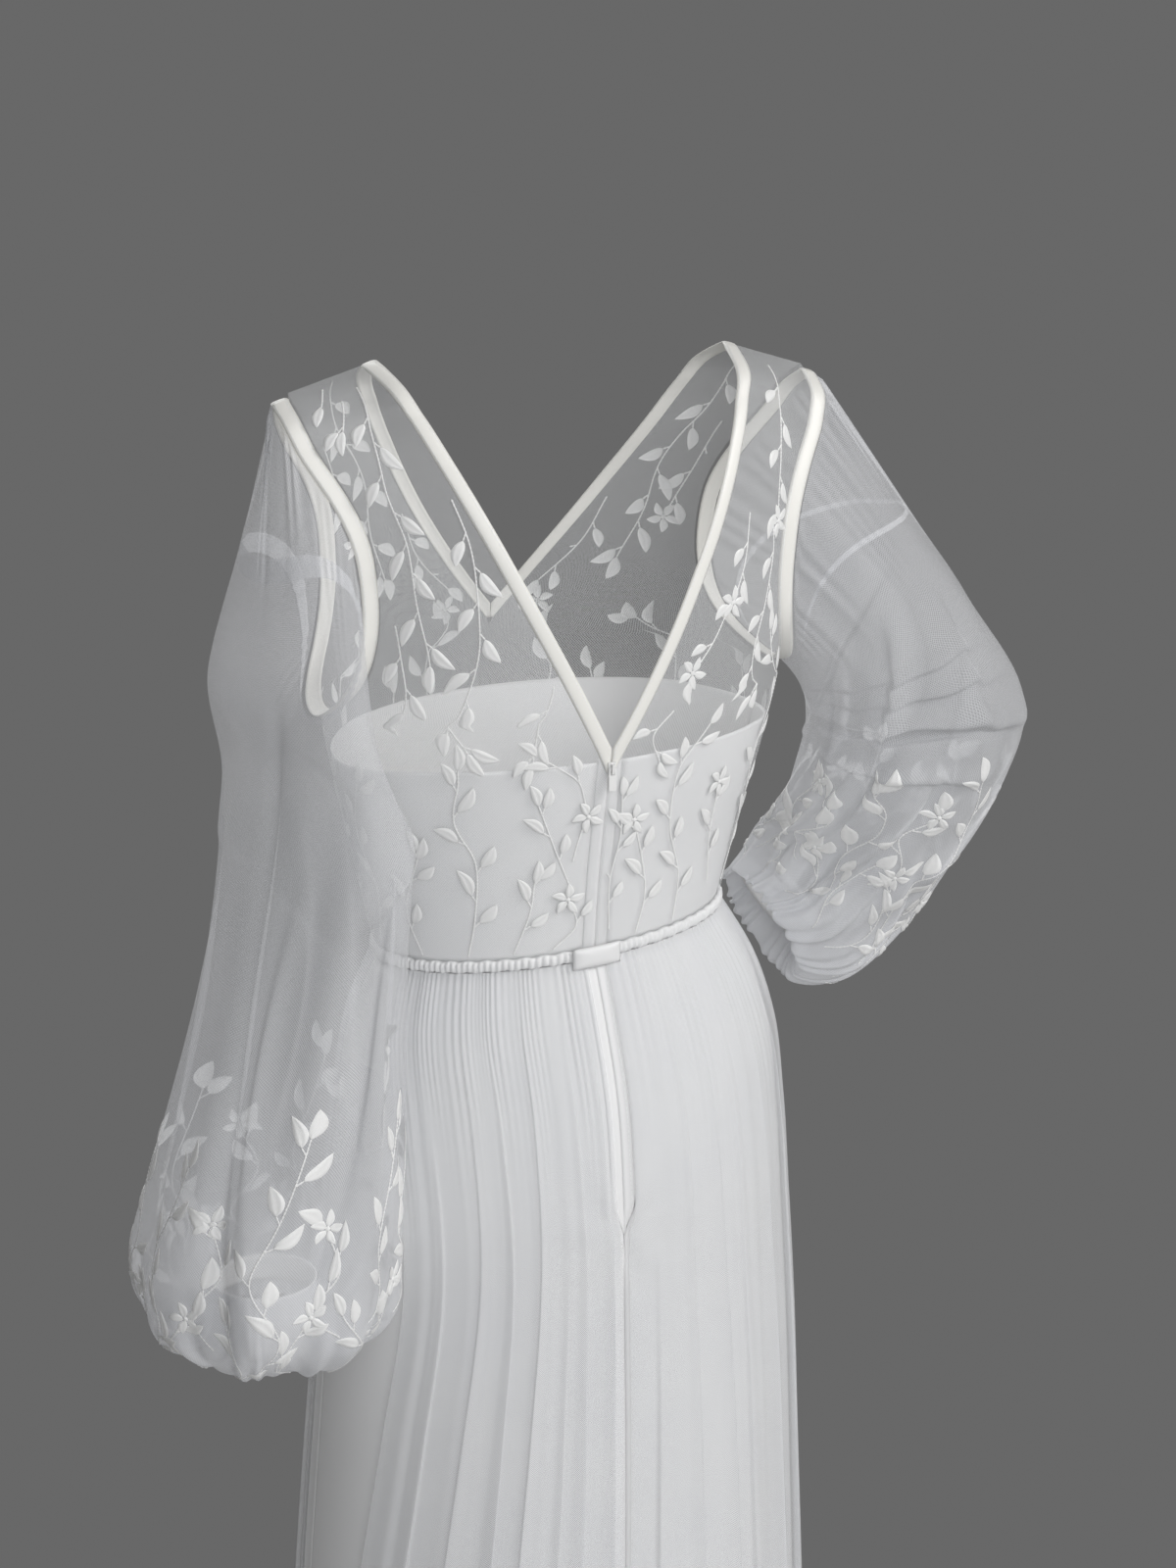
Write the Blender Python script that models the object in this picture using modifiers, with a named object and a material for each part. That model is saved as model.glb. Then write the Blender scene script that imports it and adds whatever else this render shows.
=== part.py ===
"""Wedding dress of embroidered net over satin, in the hollow form that it has when it is worn.

Frame: +Z up, +X to the wearer's left, +Y behind the wearer, metres.
The origin lies midway between the two shoulder seams, where the wearer holds the dress up.
"""

import math

import bmesh
import bpy
import numpy as np
from mathutils import Matrix

# Driving sizes of the cut
CLOTH = 0.001
SEAM_GAP = 0.0003
NET_OUT = 0.0024
BINDING_THICK = 0.0018
NECK_HALF = 0.120
SHOULDER_SLOPE = 0.30
WAIST_Z = -0.378
WAIST_TILT = -0.07
WAIST_TAPE_HEIGHT = 0.007
SKIRT_LENGTH = 1.050
BINDING_WIDTH = 0.009
ARMHOLE_BINDING_WIDTH = 0.011
ARMHOLE_INSET = 0.0040
SLEEVE_START_GAP = 0.0004
UNDERARM_START_GAP = 0.0020
SKIRT_TOP_GAP = 0.0012
UNDERARM_RISE = 0.430
CUFF_HEIGHT = 0.018
CUFF_RADIUS = 0.0325
LINING_RISES = [0.0, 0.09, 0.18, 0.265, 0.345]
LEVEL_RISE = 0.10
PANEL_COLUMNS = 7

# Small steps for finding a surface's normal: in rise and radians, and in degrees round the armhole
PROBE = 0.004
ARMHOLE_PROBE = 3.0

# Back and front neck: the height of the V's point as a share of the bodice, and how far its sides bow out
NECK_POINT = {"back": 0.366, "front": 0.500}
NECK_BOW = {"back": 0.07, "front": 0.30}

# Waist tape and the satin tab over it at the zip
WAIST_TAPE_THICK = NET_OUT + 1.6 * CLOTH
WAIST_TAPE_STEPS = 40
WAIST_TAB_LIFT = 0.0032
WAIST_TAB_HALF_WIDTH = 0.0160
WAIST_TAB_OVERHANG = 0.0035

# Zip: half the gap between the tapes, tape width, length below the waist, and the lap of net beside it
ZIP_HALF_GAP = 0.0004
ZIP_TAPE_WIDTH = 0.0080
ZIP_DROP = 0.160
ZIP_CLOSING = 0.022
NET_BESIDE_ZIP = 0.0010
OVERLAY_BESIDE_ZIP = 0.0065

# Skirt gathers
FOLDS = 40
COLUMNS_PER_FOLD = 3
UNEVEN_FOLDS = {4: 0.012, 12: 0.008, 20: 0.006}
SHALLOWEST_FOLD = 0.60
FOLD_DEPTH_WAVES = 6.3
SATIN_QUARTER_COLUMNS = 10
SKIRT_DROPS = [0.0, 0.035, 0.090, ZIP_DROP, ZIP_DROP + ZIP_CLOSING, 0.270, 0.380, 0.550, 0.800, SKIRT_LENGTH]
SATIN_SHORTER = 0.006
SEAM_TURN = 0.0018

# Bodice sections from the waist (rise 0) to the shoulder seam (rise 1)
TORSO = {
    "rise":       [0.00, 0.13, 0.29, 0.37, 0.47, 0.64, 0.74, 0.84, 0.92, 0.97, 1.00],
    "half_width": [.1200, .131, .146, .152, .157, .163, .170, .182, .195, .202, .206],
    "back":       [.0780, .083, .092, .096, .099, .099, .094, .079, .058, .036, .000],
    "front":      [.0900, .098, .117, .124, .118, .101, .088, .069, .050, .031, .000],
    "centre_x":   [.0050, .004, .002, .001, .000, .000, .000, .000, .000, .000, .000],
}

# Skirt sections of the satin layer, and the depth of the net's folds, below the waist tape
SKIRT = {
    "drop":       [0.000, 0.035, 0.090, 0.150, 0.225, 0.305, 0.430, 0.555, SKIRT_LENGTH],
    "half_width": [.1200, 0.138, 0.153, 0.160, 0.166, 0.172, 0.180, 0.187, 0.214],
    "back":       [.0780, 0.090, 0.105, 0.115, 0.120, 0.125, 0.133, 0.140, 0.170],
    "front":      [.0900, 0.099, 0.106, 0.110, 0.113, 0.118, 0.126, 0.134, 0.165],
    "centre_x":   [.0050, 0.003, 0.000, 0.000, 0.001, 0.002, 0.005, 0.007, 0.010],
    "fold_depth": [.0030, 0.005, 0.007, 0.008, 0.009, 0.010, 0.011, 0.012, 0.015],
}

# Opening of the skirt's net layer at the wearer's left: degrees from the side to its edge behind and in front
NET_OPENING = {
    "drop":       [0.000, 0.100, 0.200, 0.320, 0.450, 0.600, 0.800, SKIRT_LENGTH],
    "back":       [20, 30, 35.5, 31, 25, 19, 14, 11],
    "front":      [2, 3, 3, 4, 4, 5, 6, 7],
}

# Armhole edge: the turn from the side towards the back or front, from the shoulder (0) to the underarm (180)
ARMHOLE = {
    "around":     [0, 45, 90, 135, 180],
    "back":       [30, 29, 33, 26, 0],
    "front":      [30, 32, 38, 30, 0],
}
ARMHOLE_ROWS = (180, 169, 157, 140, 120, 100, 80, 60, 40, 20, 0)
LEAST_ROW_GAP = 0.012
ARMHOLE_LEAN = 0.30
ARMHOLE_BINDING_START = -0.0005

# Sleeve rings down the arm: their outer and inner points seen from behind, how far back they lie, their half
# depth, how far their back leans aside, and the depth of their ripples as a share of their size
LEFT_RINGS = {
    "outer_x":    [0.216, 0.236, 0.265, 0.301, 0.318, 0.318, 0.302, 0.284, 0.276, 0.2735],
    "outer_z":    [-.165, -.255, -.376, -.486, -.540, -.578, -.601, -.606, -.594, -.5670],
    "inner_x":    [0.166, 0.143, 0.140, 0.150, 0.155, 0.160, 0.177, 0.194, 0.202, 0.2039],
    "inner_z":    [-.244, -.284, -.382, -.489, -.543, -.581, -.603, -.608, -.595, -.5670],
    "centre_y":   [0.028, 0.070, 0.074, 0.085, 0.088, 0.088, 0.088, 0.088, 0.088, 0.0880],
    "half_depth": [0.070, 0.080, 0.088, 0.094, 0.097, 0.092, 0.072, 0.053, 0.040, 0.0348],
    "back_shift": [-.026, -.012, 0.000, 0.000, 0.000, 0.000, 0.000, 0.000, 0.000, 0.0000],
    "ripple":     [0.000, 0.015, 0.030, 0.035, 0.040, 0.055, 0.070, 0.050, 0.020, 0.0000],
}
RIGHT_RINGS = {
    "outer_x":    [-.250, -.290, -.324, -.320, -.290, -.264, -.226, -.193, -.200, -.2143],
    "outer_z":    [-.112, -.172, -.235, -.298, -.368, -.422, -.462, -.461, -.442, -.4256],
    "inner_x":    [-.176, -.182, -.180, -.176, -.172, -.168, -.162, -.153, -.1606, -.1747],
    "inner_z":    [-.234, -.264, -.286, -.306, -.328, -.348, -.368, -.380, -.3762, -.3684],
    "centre_y":   [0.020, 0.035, 0.040, 0.030, 0.010, -.010, -.022, -.030, -.030, -.0300],
    "half_depth": [0.062, 0.068, 0.072, 0.072, 0.070, 0.068, 0.062, 0.047, 0.038, 0.0348],
    "back_shift": [0.012, 0.008, 0.000, 0.000, 0.000, 0.000, 0.000, 0.000, 0.000, 0.0000],
    "ripple":     [0.010, 0.020, 0.025, 0.030, 0.035, 0.045, 0.060, 0.045, 0.015, 0.0000],
}
SLEEVE_COLUMNS = 32
SLEEVE_LOBES = 8
LOBE_DRIFT = 0.6
SLEEVE_LAST = len(LEFT_RINGS["outer_x"])
UPPER_ROWS = [0.0, 0.17, 0.34, 0.51, 0.68, 0.85]
PUFF_STATIONS = [5.6, 6.3, 7.0, 7.6, 8.3, 9.1, SLEEVE_LAST]
CAP_SEAM_LEAST = 0.20
CAP_SEAM_REACH = {"left": 0.50, "right": 0.80}
CAP_SEAM_FALL = {"left": 2.4, "right": 1.5}
CAP_SEAM_GAP = 0.006
CAP_SEAM_UNDERARM_GAP = 0.022

# Slider and pull of the zip
SLIDER_WIDTH = 0.0050
SLIDER_HEIGHT = 0.0080
SLIDER_PLATE = 0.0010
BRIDGE_WIDTH = 0.0016
BRIDGE_RISE = 0.0034
BRIDGE_THICK = 0.0009
BRIDGE_SINK = 0.0001
PULL_BAR = 0.0008
PULL_WIDTH = 0.0052
PULL_LENGTH = 0.0150
PULL_WINDOW = 0.0040
PULL_WINDOW_WIDTH = BRIDGE_WIDTH + 0.0012
PULL_AXIS_OUT = 0.0019
SLIDER_BELOW_POINT = 0.030

AROUNDS = [360 * step / SLEEVE_COLUMNS for step in range(SLEEVE_COLUMNS)]
SIDES = {"left": 1, "right": -1}
FACES = {"back": 1, "front": -1}

FINISHES = {
    "net":        ((0.86, 0.87, 0.90), 0.75, 0.0),
    "sleeve_net": ((0.80, 0.81, 0.85), 0.75, 0.0),
    "satin":      ((0.93, 0.93, 0.92), 0.45, 0.0),
    "binding":    ((0.95, 0.94, 0.90), 0.40, 0.0),
    "zip":        ((0.90, 0.90, 0.88), 0.35, 0.2),
}


def clear_scene():
    """Take out whatever the scene starts with."""
    for obj in list(bpy.data.objects):
        bpy.data.objects.remove(obj, do_unlink=True)


def make_collection():
    """The collection that holds every piece of the dress."""
    collection = bpy.data.collections.new("wedding_dress")
    bpy.context.scene.collection.children.link(collection)
    return collection


def make_finish(name):
    """A plain material of one of the dress's finishes."""
    colour, roughness, metallic = FINISHES[name]
    material = bpy.data.materials.get(name) or bpy.data.materials.new(name)
    material.use_nodes = True
    shader = material.node_tree.nodes["Principled BSDF"]
    shader.inputs["Base Color"].default_value = (*colour, 1.0)
    shader.inputs["Roughness"].default_value = roughness
    shader.inputs["Metallic"].default_value = metallic
    return material


def read(table, column, at):
    """A column's value at a place between rows, on a smooth curve through them."""
    keys = next(iter(table.values()))
    values = table[column]
    slopes = np.gradient(values, keys)
    row = min(max(int(np.searchsorted(keys, at)) - 1, 0), len(keys) - 2)
    span = keys[row + 1] - keys[row]
    t = min(max((at - keys[row]) / span, 0.0), 1.0)
    start = values[row] * (1 + 2 * t) * (1 - t) ** 2 + slopes[row] * span * t * (1 - t) ** 2
    end = values[row + 1] * t * t * (3 - 2 * t) + slopes[row + 1] * span * t * t * (t - 1)
    return float(start + end)


def ease(t):
    """A soft step from 0 to 1."""
    t = min(max(t, 0.0), 1.0)
    return t * t * (3 - 2 * t)


def unit(vector):
    """The vector at length 1."""
    return vector / np.linalg.norm(vector)


def torso_base(side, face, turn, rise):
    """A point of the figure's surface: turn is 0 at the side and 90 degrees at the centre back or front."""
    x = read(TORSO, "centre_x", rise) + SIDES[side] * read(TORSO, "half_width", rise) * math.cos(turn)
    y = FACES[face] * read(TORSO, face, rise) * math.sin(turn)
    shoulder_z = -SHOULDER_SLOPE * max(abs(x) - NECK_HALF, 0.0)
    z = WAIST_Z + rise * (shoulder_z - WAIST_Z) + WAIST_TILT * x * (1 - rise) ** 2
    return np.array([x, y, z])


def torso(side, face, turn, rise, out):
    """A point at a distance out from the figure's surface, square to it."""
    point = torso_base(side, face, turn, rise)
    if rise > 1 - PROBE / 2:
        normal = np.array([SIDES[side] * SHOULDER_SLOPE, 0.0, 1.0])
    else:
        low, high = max(rise - PROBE, 0.0), min(rise + PROBE, 1.0)
        along = torso_base(side, face, turn, high) - torso_base(side, face, turn, low)
        across = torso_base(side, face, turn + PROBE, rise) - torso_base(side, face, turn - PROBE, rise)
        normal = np.cross(across, along) * SIDES[side] * FACES[face]
        normal[2] *= ease(rise / LEVEL_RISE)
    return point + unit(normal) * out


def centre_turn(offset, rise):
    """The turn at a distance beside the centre back or front line."""
    return math.acos(min(max(offset / read(TORSO, "half_width", rise), -1.0), 1.0))


def neck_offset(face, rise):
    """How far the neck's edge lies from the centre line; below the V's point it carries on straight."""
    share = (rise - NECK_POINT[face]) / (1 - NECK_POINT[face])
    return NECK_HALF * share * (1 + NECK_BOW[face] * (1 - max(share, 0.0)))


def binding_reach():
    """The neck binding's width, measured level, on the slant of the V."""
    slant = NECK_HALF / ((1 - NECK_POINT["back"]) * -WAIST_Z)
    return BINDING_WIDTH * math.hypot(1, slant)


def mitre_rise(face, offset):
    """The rise below the V's point at which the neck binding's outer edge is at an offset from the centre."""
    slope = NECK_HALF * (1 + NECK_BOW[face]) / (1 - NECK_POINT[face])
    return NECK_POINT[face] - (binding_reach() - offset) / slope


def net_beside_centre(face):
    """How far a net panel stays from the centre line below the neck."""
    return NET_BESIDE_ZIP if face == "back" else 0.0


def armhole_around(rise):
    """How far round the armhole a rise lies: 0 at the shoulder, 180 at the underarm."""
    share = (rise - UNDERARM_RISE) / (1 - UNDERARM_RISE)
    return math.degrees(math.acos(min(max(2 * share - 1, -1.0), 1.0)))


def side_turn(face, rise):
    """The turn of a panel's outer edge: the side seam, then the armhole."""
    if rise <= UNDERARM_RISE:
        return SEAM_TURN
    return max(math.radians(read(ARMHOLE, face, armhole_around(rise))), SEAM_TURN)


def add_grid(shape, rows, closed, flip):
    """Add faces between rows of points to a bmesh."""
    grid = [[shape.verts.new(point) for point in row] for row in rows]
    columns = len(rows[0])
    for low, high in zip(grid, grid[1:]):
        for column in range(columns if closed else columns - 1):
            after = (column + 1) % columns
            face = [low[column], low[after], high[after], high[column]]
            shape.faces.new(face[::-1] if flip else face)


def thicken(name, shape, thickness, finish):
    """Turn an open surface into a piece of cloth, thickened on its outer side."""
    mesh = bpy.data.meshes.new(name)
    shape.to_mesh(mesh)
    shape.free()
    obj = bpy.data.objects.new(name, mesh)
    solid = obj.modifiers.new("cloth thickness", "SOLIDIFY")
    solid.thickness = thickness
    solid.offset = 1.0
    mesh.shade_smooth()
    place(obj, finish)


def sheet(name, rows, thickness, finish, closed=False, flip=False):
    """A piece of cloth through rows of points."""
    shape = bmesh.new()
    add_grid(shape, rows, closed, flip)
    thicken(name, shape, thickness, finish)


def place(obj, finish):
    """Put a piece in the dress with its finish."""
    obj.data.materials.append(make_finish(finish))
    DRESS.objects.link(obj)


def half_panel_rows(side, face, rises, inner, out):
    """Rows of one half of a bodice panel, from its inner edge to its outer edge."""
    rows = []
    for rise in rises:
        start = centre_turn(inner(rise), rise)
        end = side_turn(face, rise)
        turns = [start + (end - start) * step / PANEL_COLUMNS for step in range(PANEL_COLUMNS + 1)]
        rows.append([torso(side, face, turn, rise, out) for turn in turns])
    return rows


def armhole_rise(around):
    """The rise of a place round the armhole: 0 at the shoulder, 180 at the underarm."""
    return UNDERARM_RISE + (1 - UNDERARM_RISE) * (1 + math.cos(math.radians(around))) / 2


def net_rises(face):
    """Rises of the net panels' rows, close at the underarm, with one where the neck binding starts."""
    beside_neck = [mitre_rise(face, net_beside_centre(face) - SEAM_GAP), NECK_POINT[face]]
    others = LINING_RISES + [armhole_rise(around) for around in ARMHOLE_ROWS]
    clear = [rise for rise in others if min(abs(rise - kept) for kept in beside_neck) > LEAST_ROW_GAP]
    return sorted(beside_neck + clear)


def net_inner(face):
    """The inner edge of a net panel: beside the centre line, then beside the neck binding."""
    beside = net_beside_centre(face)
    return lambda rise: max(neck_offset(face, rise) + binding_reach() + SEAM_GAP, beside)


def outward_flip(side, face):
    """Whether rows that run from the centre to the side need turning, to face outwards."""
    return SIDES[side] * FACES[face] > 0


def make_net_bodice():
    """Two backs and one front of embroidered net."""
    for side in SIDES:
        rows = half_panel_rows(side, "back", net_rises("back"), net_inner("back"), NET_OUT)
        sheet(f"bodice_back_{side}", rows, CLOTH, "net", flip=outward_flip(side, "back"))
    rises, inner = net_rises("front"), net_inner("front")
    front = [half_panel_rows(side, "front", rises, inner, NET_OUT) for side in SIDES]
    make_front("bodice_front", front, "net")


def make_front(name, halves, finish):
    """A front panel of two halves that are one cloth below the neck."""
    shape = bmesh.new()
    for side, rows in zip(SIDES, halves):
        add_grid(shape, rows, closed=False, flip=outward_flip(side, "front"))
    bmesh.ops.remove_doubles(shape, verts=shape.verts[:], dist=1e-6)
    thicken(name, shape, CLOTH, finish)


def make_lining():
    """The satin layer of the bodice, from the waist to a straight top edge."""
    beside_zip = ZIP_HALF_GAP + ZIP_TAPE_WIDTH + SEAM_GAP
    for side in SIDES:
        rows = half_panel_rows(side, "back", LINING_RISES, lambda rise: beside_zip, 0.0)
        sheet(f"lining_back_{side}", rows, CLOTH, "satin", flip=outward_flip(side, "back"))
    front = [half_panel_rows(side, "front", LINING_RISES, lambda rise: 0.0, 0.0) for side in SIDES]
    make_front("lining_front", front, "satin")


def neck_binding_row(side, face, rise):
    """The two edges of the neck binding at a rise."""
    edge = max(neck_offset(face, rise), ZIP_HALF_GAP)
    far = max(neck_offset(face, rise) + binding_reach(), edge + ZIP_HALF_GAP)
    out = NET_OUT - (BINDING_THICK - CLOTH) / 2
    return [torso(side, face, centre_turn(x, rise), rise, out) for x in (edge, far)]


def make_neck_bindings():
    """One bias strip for each half of the neck, from the back V over the shoulder to the front V."""
    for side in SIDES:
        rows = []
        for face in ("back", "front"):
            start = mitre_rise(face, 2 * NET_BESIDE_ZIP)
            rises = [start] + [rise for rise in net_rises(face) if start < rise < 1]
            part = [neck_binding_row(side, face, rise) for rise in rises]
            rows += part if face == "back" else [neck_binding_row(side, "back", 1.0)] + part[::-1]
        sheet(f"neck_binding_{side}", rows, BINDING_THICK, "binding", flip=outward_flip(side, "back"))


def armhole_loop(side, around):
    """A point of the armhole's edge: 0 at the shoulder, 90 behind, 180 at the underarm, 270 in front."""
    face = "back" if around <= 180 else "front"
    fold = around if around <= 180 else 360 - around
    turn = math.radians(read(ARMHOLE, face, fold))
    return torso(side, face, turn, armhole_rise(fold), NET_OUT + CLOTH / 2)


def armhole_strip(side, around, reach):
    """A point of the band that leaves the armhole outwards, at a distance along it."""
    edge = armhole_loop(side, around)
    ahead = armhole_loop(side, (around + ARMHOLE_PROBE) % 360)
    along = ahead - armhole_loop(side, (around - ARMHOLE_PROBE) % 360)
    inward = unit(np.array([0.0, along[2], -along[1]]))
    outwards = unit(np.array([SIDES[side], 0.0, -ARMHOLE_LEAN]))
    return edge + inward * ARMHOLE_INSET + outwards * reach


def make_armhole_bindings():
    """The satin strip round each armhole, between the bodice and the sleeve."""
    reaches = [ARMHOLE_BINDING_START, ARMHOLE_BINDING_WIDTH]
    for side in SIDES:
        rows = [[armhole_strip(side, around, reach) for around in AROUNDS] for reach in reaches]
        sheet(f"armhole_binding_{side}", rows, BINDING_THICK, "binding", closed=True, flip=side == "left")


def underarm_nearness(around):
    """0 at the top of the arm and 1 at the underarm."""
    return (1 - math.cos(math.radians(around))) / 2


def sleeve_ring(side, station, around):
    """A point of one of the sleeve's rings: station 0 is the armhole, the last is the cuff's seam."""
    if station == 0:
        gap = SLEEVE_START_GAP + UNDERARM_START_GAP * underarm_nearness(around)
        return armhole_strip(side, around, ARMHOLE_BINDING_WIDTH + gap)
    rings = LEFT_RINGS if side == "left" else RIGHT_RINGS
    row = {column: values[station - 1] for column, values in rings.items()}
    outer = np.array([row["outer_x"], row["centre_y"], row["outer_z"]])
    inner = np.array([row["inner_x"], row["centre_y"], row["inner_z"]])
    turn = math.radians(around)
    swell = 1 + row["ripple"] * math.cos(SLEEVE_LOBES * turn + LOBE_DRIFT * station)
    behind = np.array([row["back_shift"], row["half_depth"], 0.0])
    arm = (outer - inner) / 2
    return (outer + inner) / 2 + swell * (arm * math.cos(turn) + behind * math.sin(turn))


def sleeve(side, place_along, around):
    """A point of the sleeve's cloth on a smooth line down through its rings."""
    station = min(int(place_along), SLEEVE_LAST - 1)
    t = place_along - station
    near, far = sleeve_ring(side, station, around), sleeve_ring(side, station + 1, around)
    before = sleeve_ring(side, max(station - 1, 0), around)
    after = sleeve_ring(side, min(station + 2, SLEEVE_LAST), around)
    leave, arrive = (far - before) / 2, (after - near) / 2
    start = near * (1 + 2 * t) * (1 - t) ** 2 + leave * t * (1 - t) ** 2
    end = far * t * t * (3 - 2 * t) + arrive * t * t * (t - 1)
    return start + end


def cap_seam(side, around):
    """Where the level seam below the sleeve's cap lies along the sleeve."""
    nearness = 1 - underarm_nearness(around)
    return CAP_SEAM_LEAST + CAP_SEAM_REACH[side] * nearness ** CAP_SEAM_FALL[side]


def below_cap_seam(side, around):
    """Where the lower sleeve starts, just below the cap's seam."""
    return cap_seam(side, around) + CAP_SEAM_GAP + CAP_SEAM_UNDERARM_GAP * underarm_nearness(around)


def upper_row(side, share):
    """A row of the lower sleeve, at a share of the way from the cap's seam to the puff."""
    row = []
    for around in AROUNDS:
        start = below_cap_seam(side, around)
        row.append(sleeve(side, start + share * (PUFF_STATIONS[0] - start), around))
    return row


def make_sleeves():
    """Each sleeve's cap and its long full lower piece, gathered to the cuff and turned under over it."""
    for side in SIDES:
        cap = []
        for share in (0.0, 0.5, 1.0):
            cap.append([sleeve(side, cap_seam(side, around) * share, around) for around in AROUNDS])
        sheet(f"sleeve_cap_{side}", cap, CLOTH, "sleeve_net", closed=True, flip=side == "left")
        rows = [upper_row(side, share) for share in UPPER_ROWS]
        rows += [[sleeve(side, station, around) for around in AROUNDS] for station in PUFF_STATIONS]
        sheet(f"sleeve_{side}", rows, CLOTH, "sleeve_net", closed=True, flip=side == "left")


def make_cuffs():
    """A plain narrow satin cuff at the end of each sleeve, inside the turned-under cloth."""
    for side in SIDES:
        ring = [sleeve_ring(side, SLEEVE_LAST, around) for around in AROUNDS]
        middle = sum(ring) / len(ring)
        axis = unit(np.cross(ring[0] - middle, ring[SLEEVE_COLUMNS // 4] - middle)) * SIDES[side] * -1
        rows = []
        for reach in (SEAM_GAP, SEAM_GAP + CUFF_HEIGHT):
            rows.append([middle + unit(point - middle) * CUFF_RADIUS + axis * reach for point in ring])
        sheet(f"cuff_{side}", rows, CLOTH, "satin", closed=True, flip=side == "left")


def skirt(angle, drop, out):
    """A point outside the skirt's satin layer: angle is 0 at the wearer's left side, 90 degrees behind."""
    across, deep = math.cos(angle), math.sin(angle)
    half_width = read(SKIRT, "half_width", drop) + out
    depth = read(SKIRT, "back" if deep >= 0 else "front", drop) + out
    x = read(SKIRT, "centre_x", drop) + half_width * across
    top = WAIST_Z - WAIST_TAPE_HEIGHT - SEAM_GAP - SKIRT_TOP_GAP
    z = top - drop + WAIST_TILT * x * (1 - ease(drop / SKIRT_LENGTH))
    return np.array([x, depth * deep, z])


def make_waist_tape():
    """The narrow gathered band at the waist, open at the zip."""
    open_turn = (ZIP_HALF_GAP + ZIP_TAPE_WIDTH + SEAM_GAP) / TORSO["half_width"][0]
    start = math.pi / 2 + open_turn
    sweep = 2 * math.pi - 2 * open_turn
    angles = [start + sweep * step / WAIST_TAPE_STEPS for step in range(WAIST_TAPE_STEPS + 1)]
    rows = []
    for below in (SEAM_GAP + WAIST_TAPE_HEIGHT, SEAM_GAP):
        row = []
        for angle in angles:
            point = skirt(angle, 0.0, 0.0)
            point[2] += WAIST_TAPE_HEIGHT + SEAM_GAP + SKIRT_TOP_GAP - below
            row.append(point)
        rows.append(row)
    sheet("waist_tape", rows, WAIST_TAPE_THICK, "net")


def zip_edge(offset, drop):
    """The angle beside the centre back that lies at a distance from it."""
    return offset / read(SKIRT, "half_width", drop)


def lining_zip_offset(drop):
    """Half the opening of the skirt's satin layer at the centre back."""
    full = ZIP_HALF_GAP + ZIP_TAPE_WIDTH + SEAM_GAP
    closed = SEAM_GAP / 2
    return full + (closed - full) * ease((drop - ZIP_DROP - SEAM_GAP) / ZIP_CLOSING)


def overlay_zip_offset(drop):
    """Half the opening of the skirt's net layer at the centre back."""
    closed = SEAM_GAP / 2
    return OVERLAY_BESIDE_ZIP + (closed - OVERLAY_BESIDE_ZIP) * ease((drop - ZIP_DROP) / ZIP_CLOSING)


def opening_turn(face, drop):
    """How far the net layer's edge lies from the left side."""
    return math.radians(read(NET_OPENING, face, drop))


def gather(turn):
    """Shift the even folds a little, so that they lie unevenly, without moving the seams."""
    return turn + sum(shift * math.sin(waves * turn) for waves, shift in UNEVEN_FOLDS.items())


def overlay_rows(first, last, edges):
    """Rows of gathered net over a range of columns, stretched between its two edges."""
    rows = []
    spacing = 2 * math.pi / (FOLDS * COLUMNS_PER_FOLD)
    spans = (first * spacing, last * spacing)
    for drop in SKIRT_DROPS:
        low, high = edges(drop)
        depth = read(SKIRT, "fold_depth", drop)
        row = []
        for column in range(first, last + 1):
            share = (gather(column * spacing) - spans[0]) / (spans[1] - spans[0])
            uneven = 1 - (1 - SHALLOWEST_FOLD) * (1 - math.sin(FOLD_DEPTH_WAVES * column * spacing)) / 2
            wave = (1 + math.cos(2 * math.pi * column / COLUMNS_PER_FOLD)) / 2
            row.append(skirt(low + (high - low) * share, drop, NET_OUT + depth * wave * uneven))
        rows.append(row)
    return rows


def make_skirt_net():
    """Gathered net: two backs beside the zip and one front, open down the wearer's left side."""
    side = FOLDS * COLUMNS_PER_FOLD // 4

    def back_left(drop):
        return opening_turn("back", drop), math.pi / 2 - zip_edge(overlay_zip_offset(drop), drop)

    def back_right(drop):
        return math.pi / 2 + zip_edge(overlay_zip_offset(drop), drop), math.pi - SEAM_TURN

    def front(drop):
        return math.pi + SEAM_TURN, 2 * math.pi - opening_turn("front", drop)

    sheet("skirt_net_back_left", overlay_rows(0, side, back_left), CLOTH, "net", flip=True)
    sheet("skirt_net_back_right", overlay_rows(side, 2 * side, back_right), CLOTH, "net", flip=True)
    sheet("skirt_net_front", overlay_rows(2 * side, 4 * side, front), CLOTH, "net", flip=True)


def make_skirt_satin():
    """The plain satin layer of the skirt: two backs and one front."""

    def back_left(drop):
        return SEAM_TURN, math.pi / 2 - zip_edge(lining_zip_offset(drop), drop)

    def back_right(drop):
        return math.pi / 2 + zip_edge(lining_zip_offset(drop), drop), math.pi - SEAM_TURN

    def front(drop):
        return math.pi + SEAM_TURN, 2 * math.pi - SEAM_TURN

    pieces = {"back_left": (back_left, 1), "back_right": (back_right, 1), "front": (front, 2)}
    for name, (edges, quarters) in pieces.items():
        columns = quarters * SATIN_QUARTER_COLUMNS
        rows = []
        for drop in SKIRT_DROPS[:-1] + [SKIRT_LENGTH - SATIN_SHORTER]:
            low, high = edges(drop)
            angles = [low + (high - low) * step / columns for step in range(columns + 1)]
            rows.append([skirt(angle, drop, 0.0) for angle in angles])
        sheet(f"skirt_satin_{name}", rows, CLOTH, "satin", flip=True)


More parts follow.
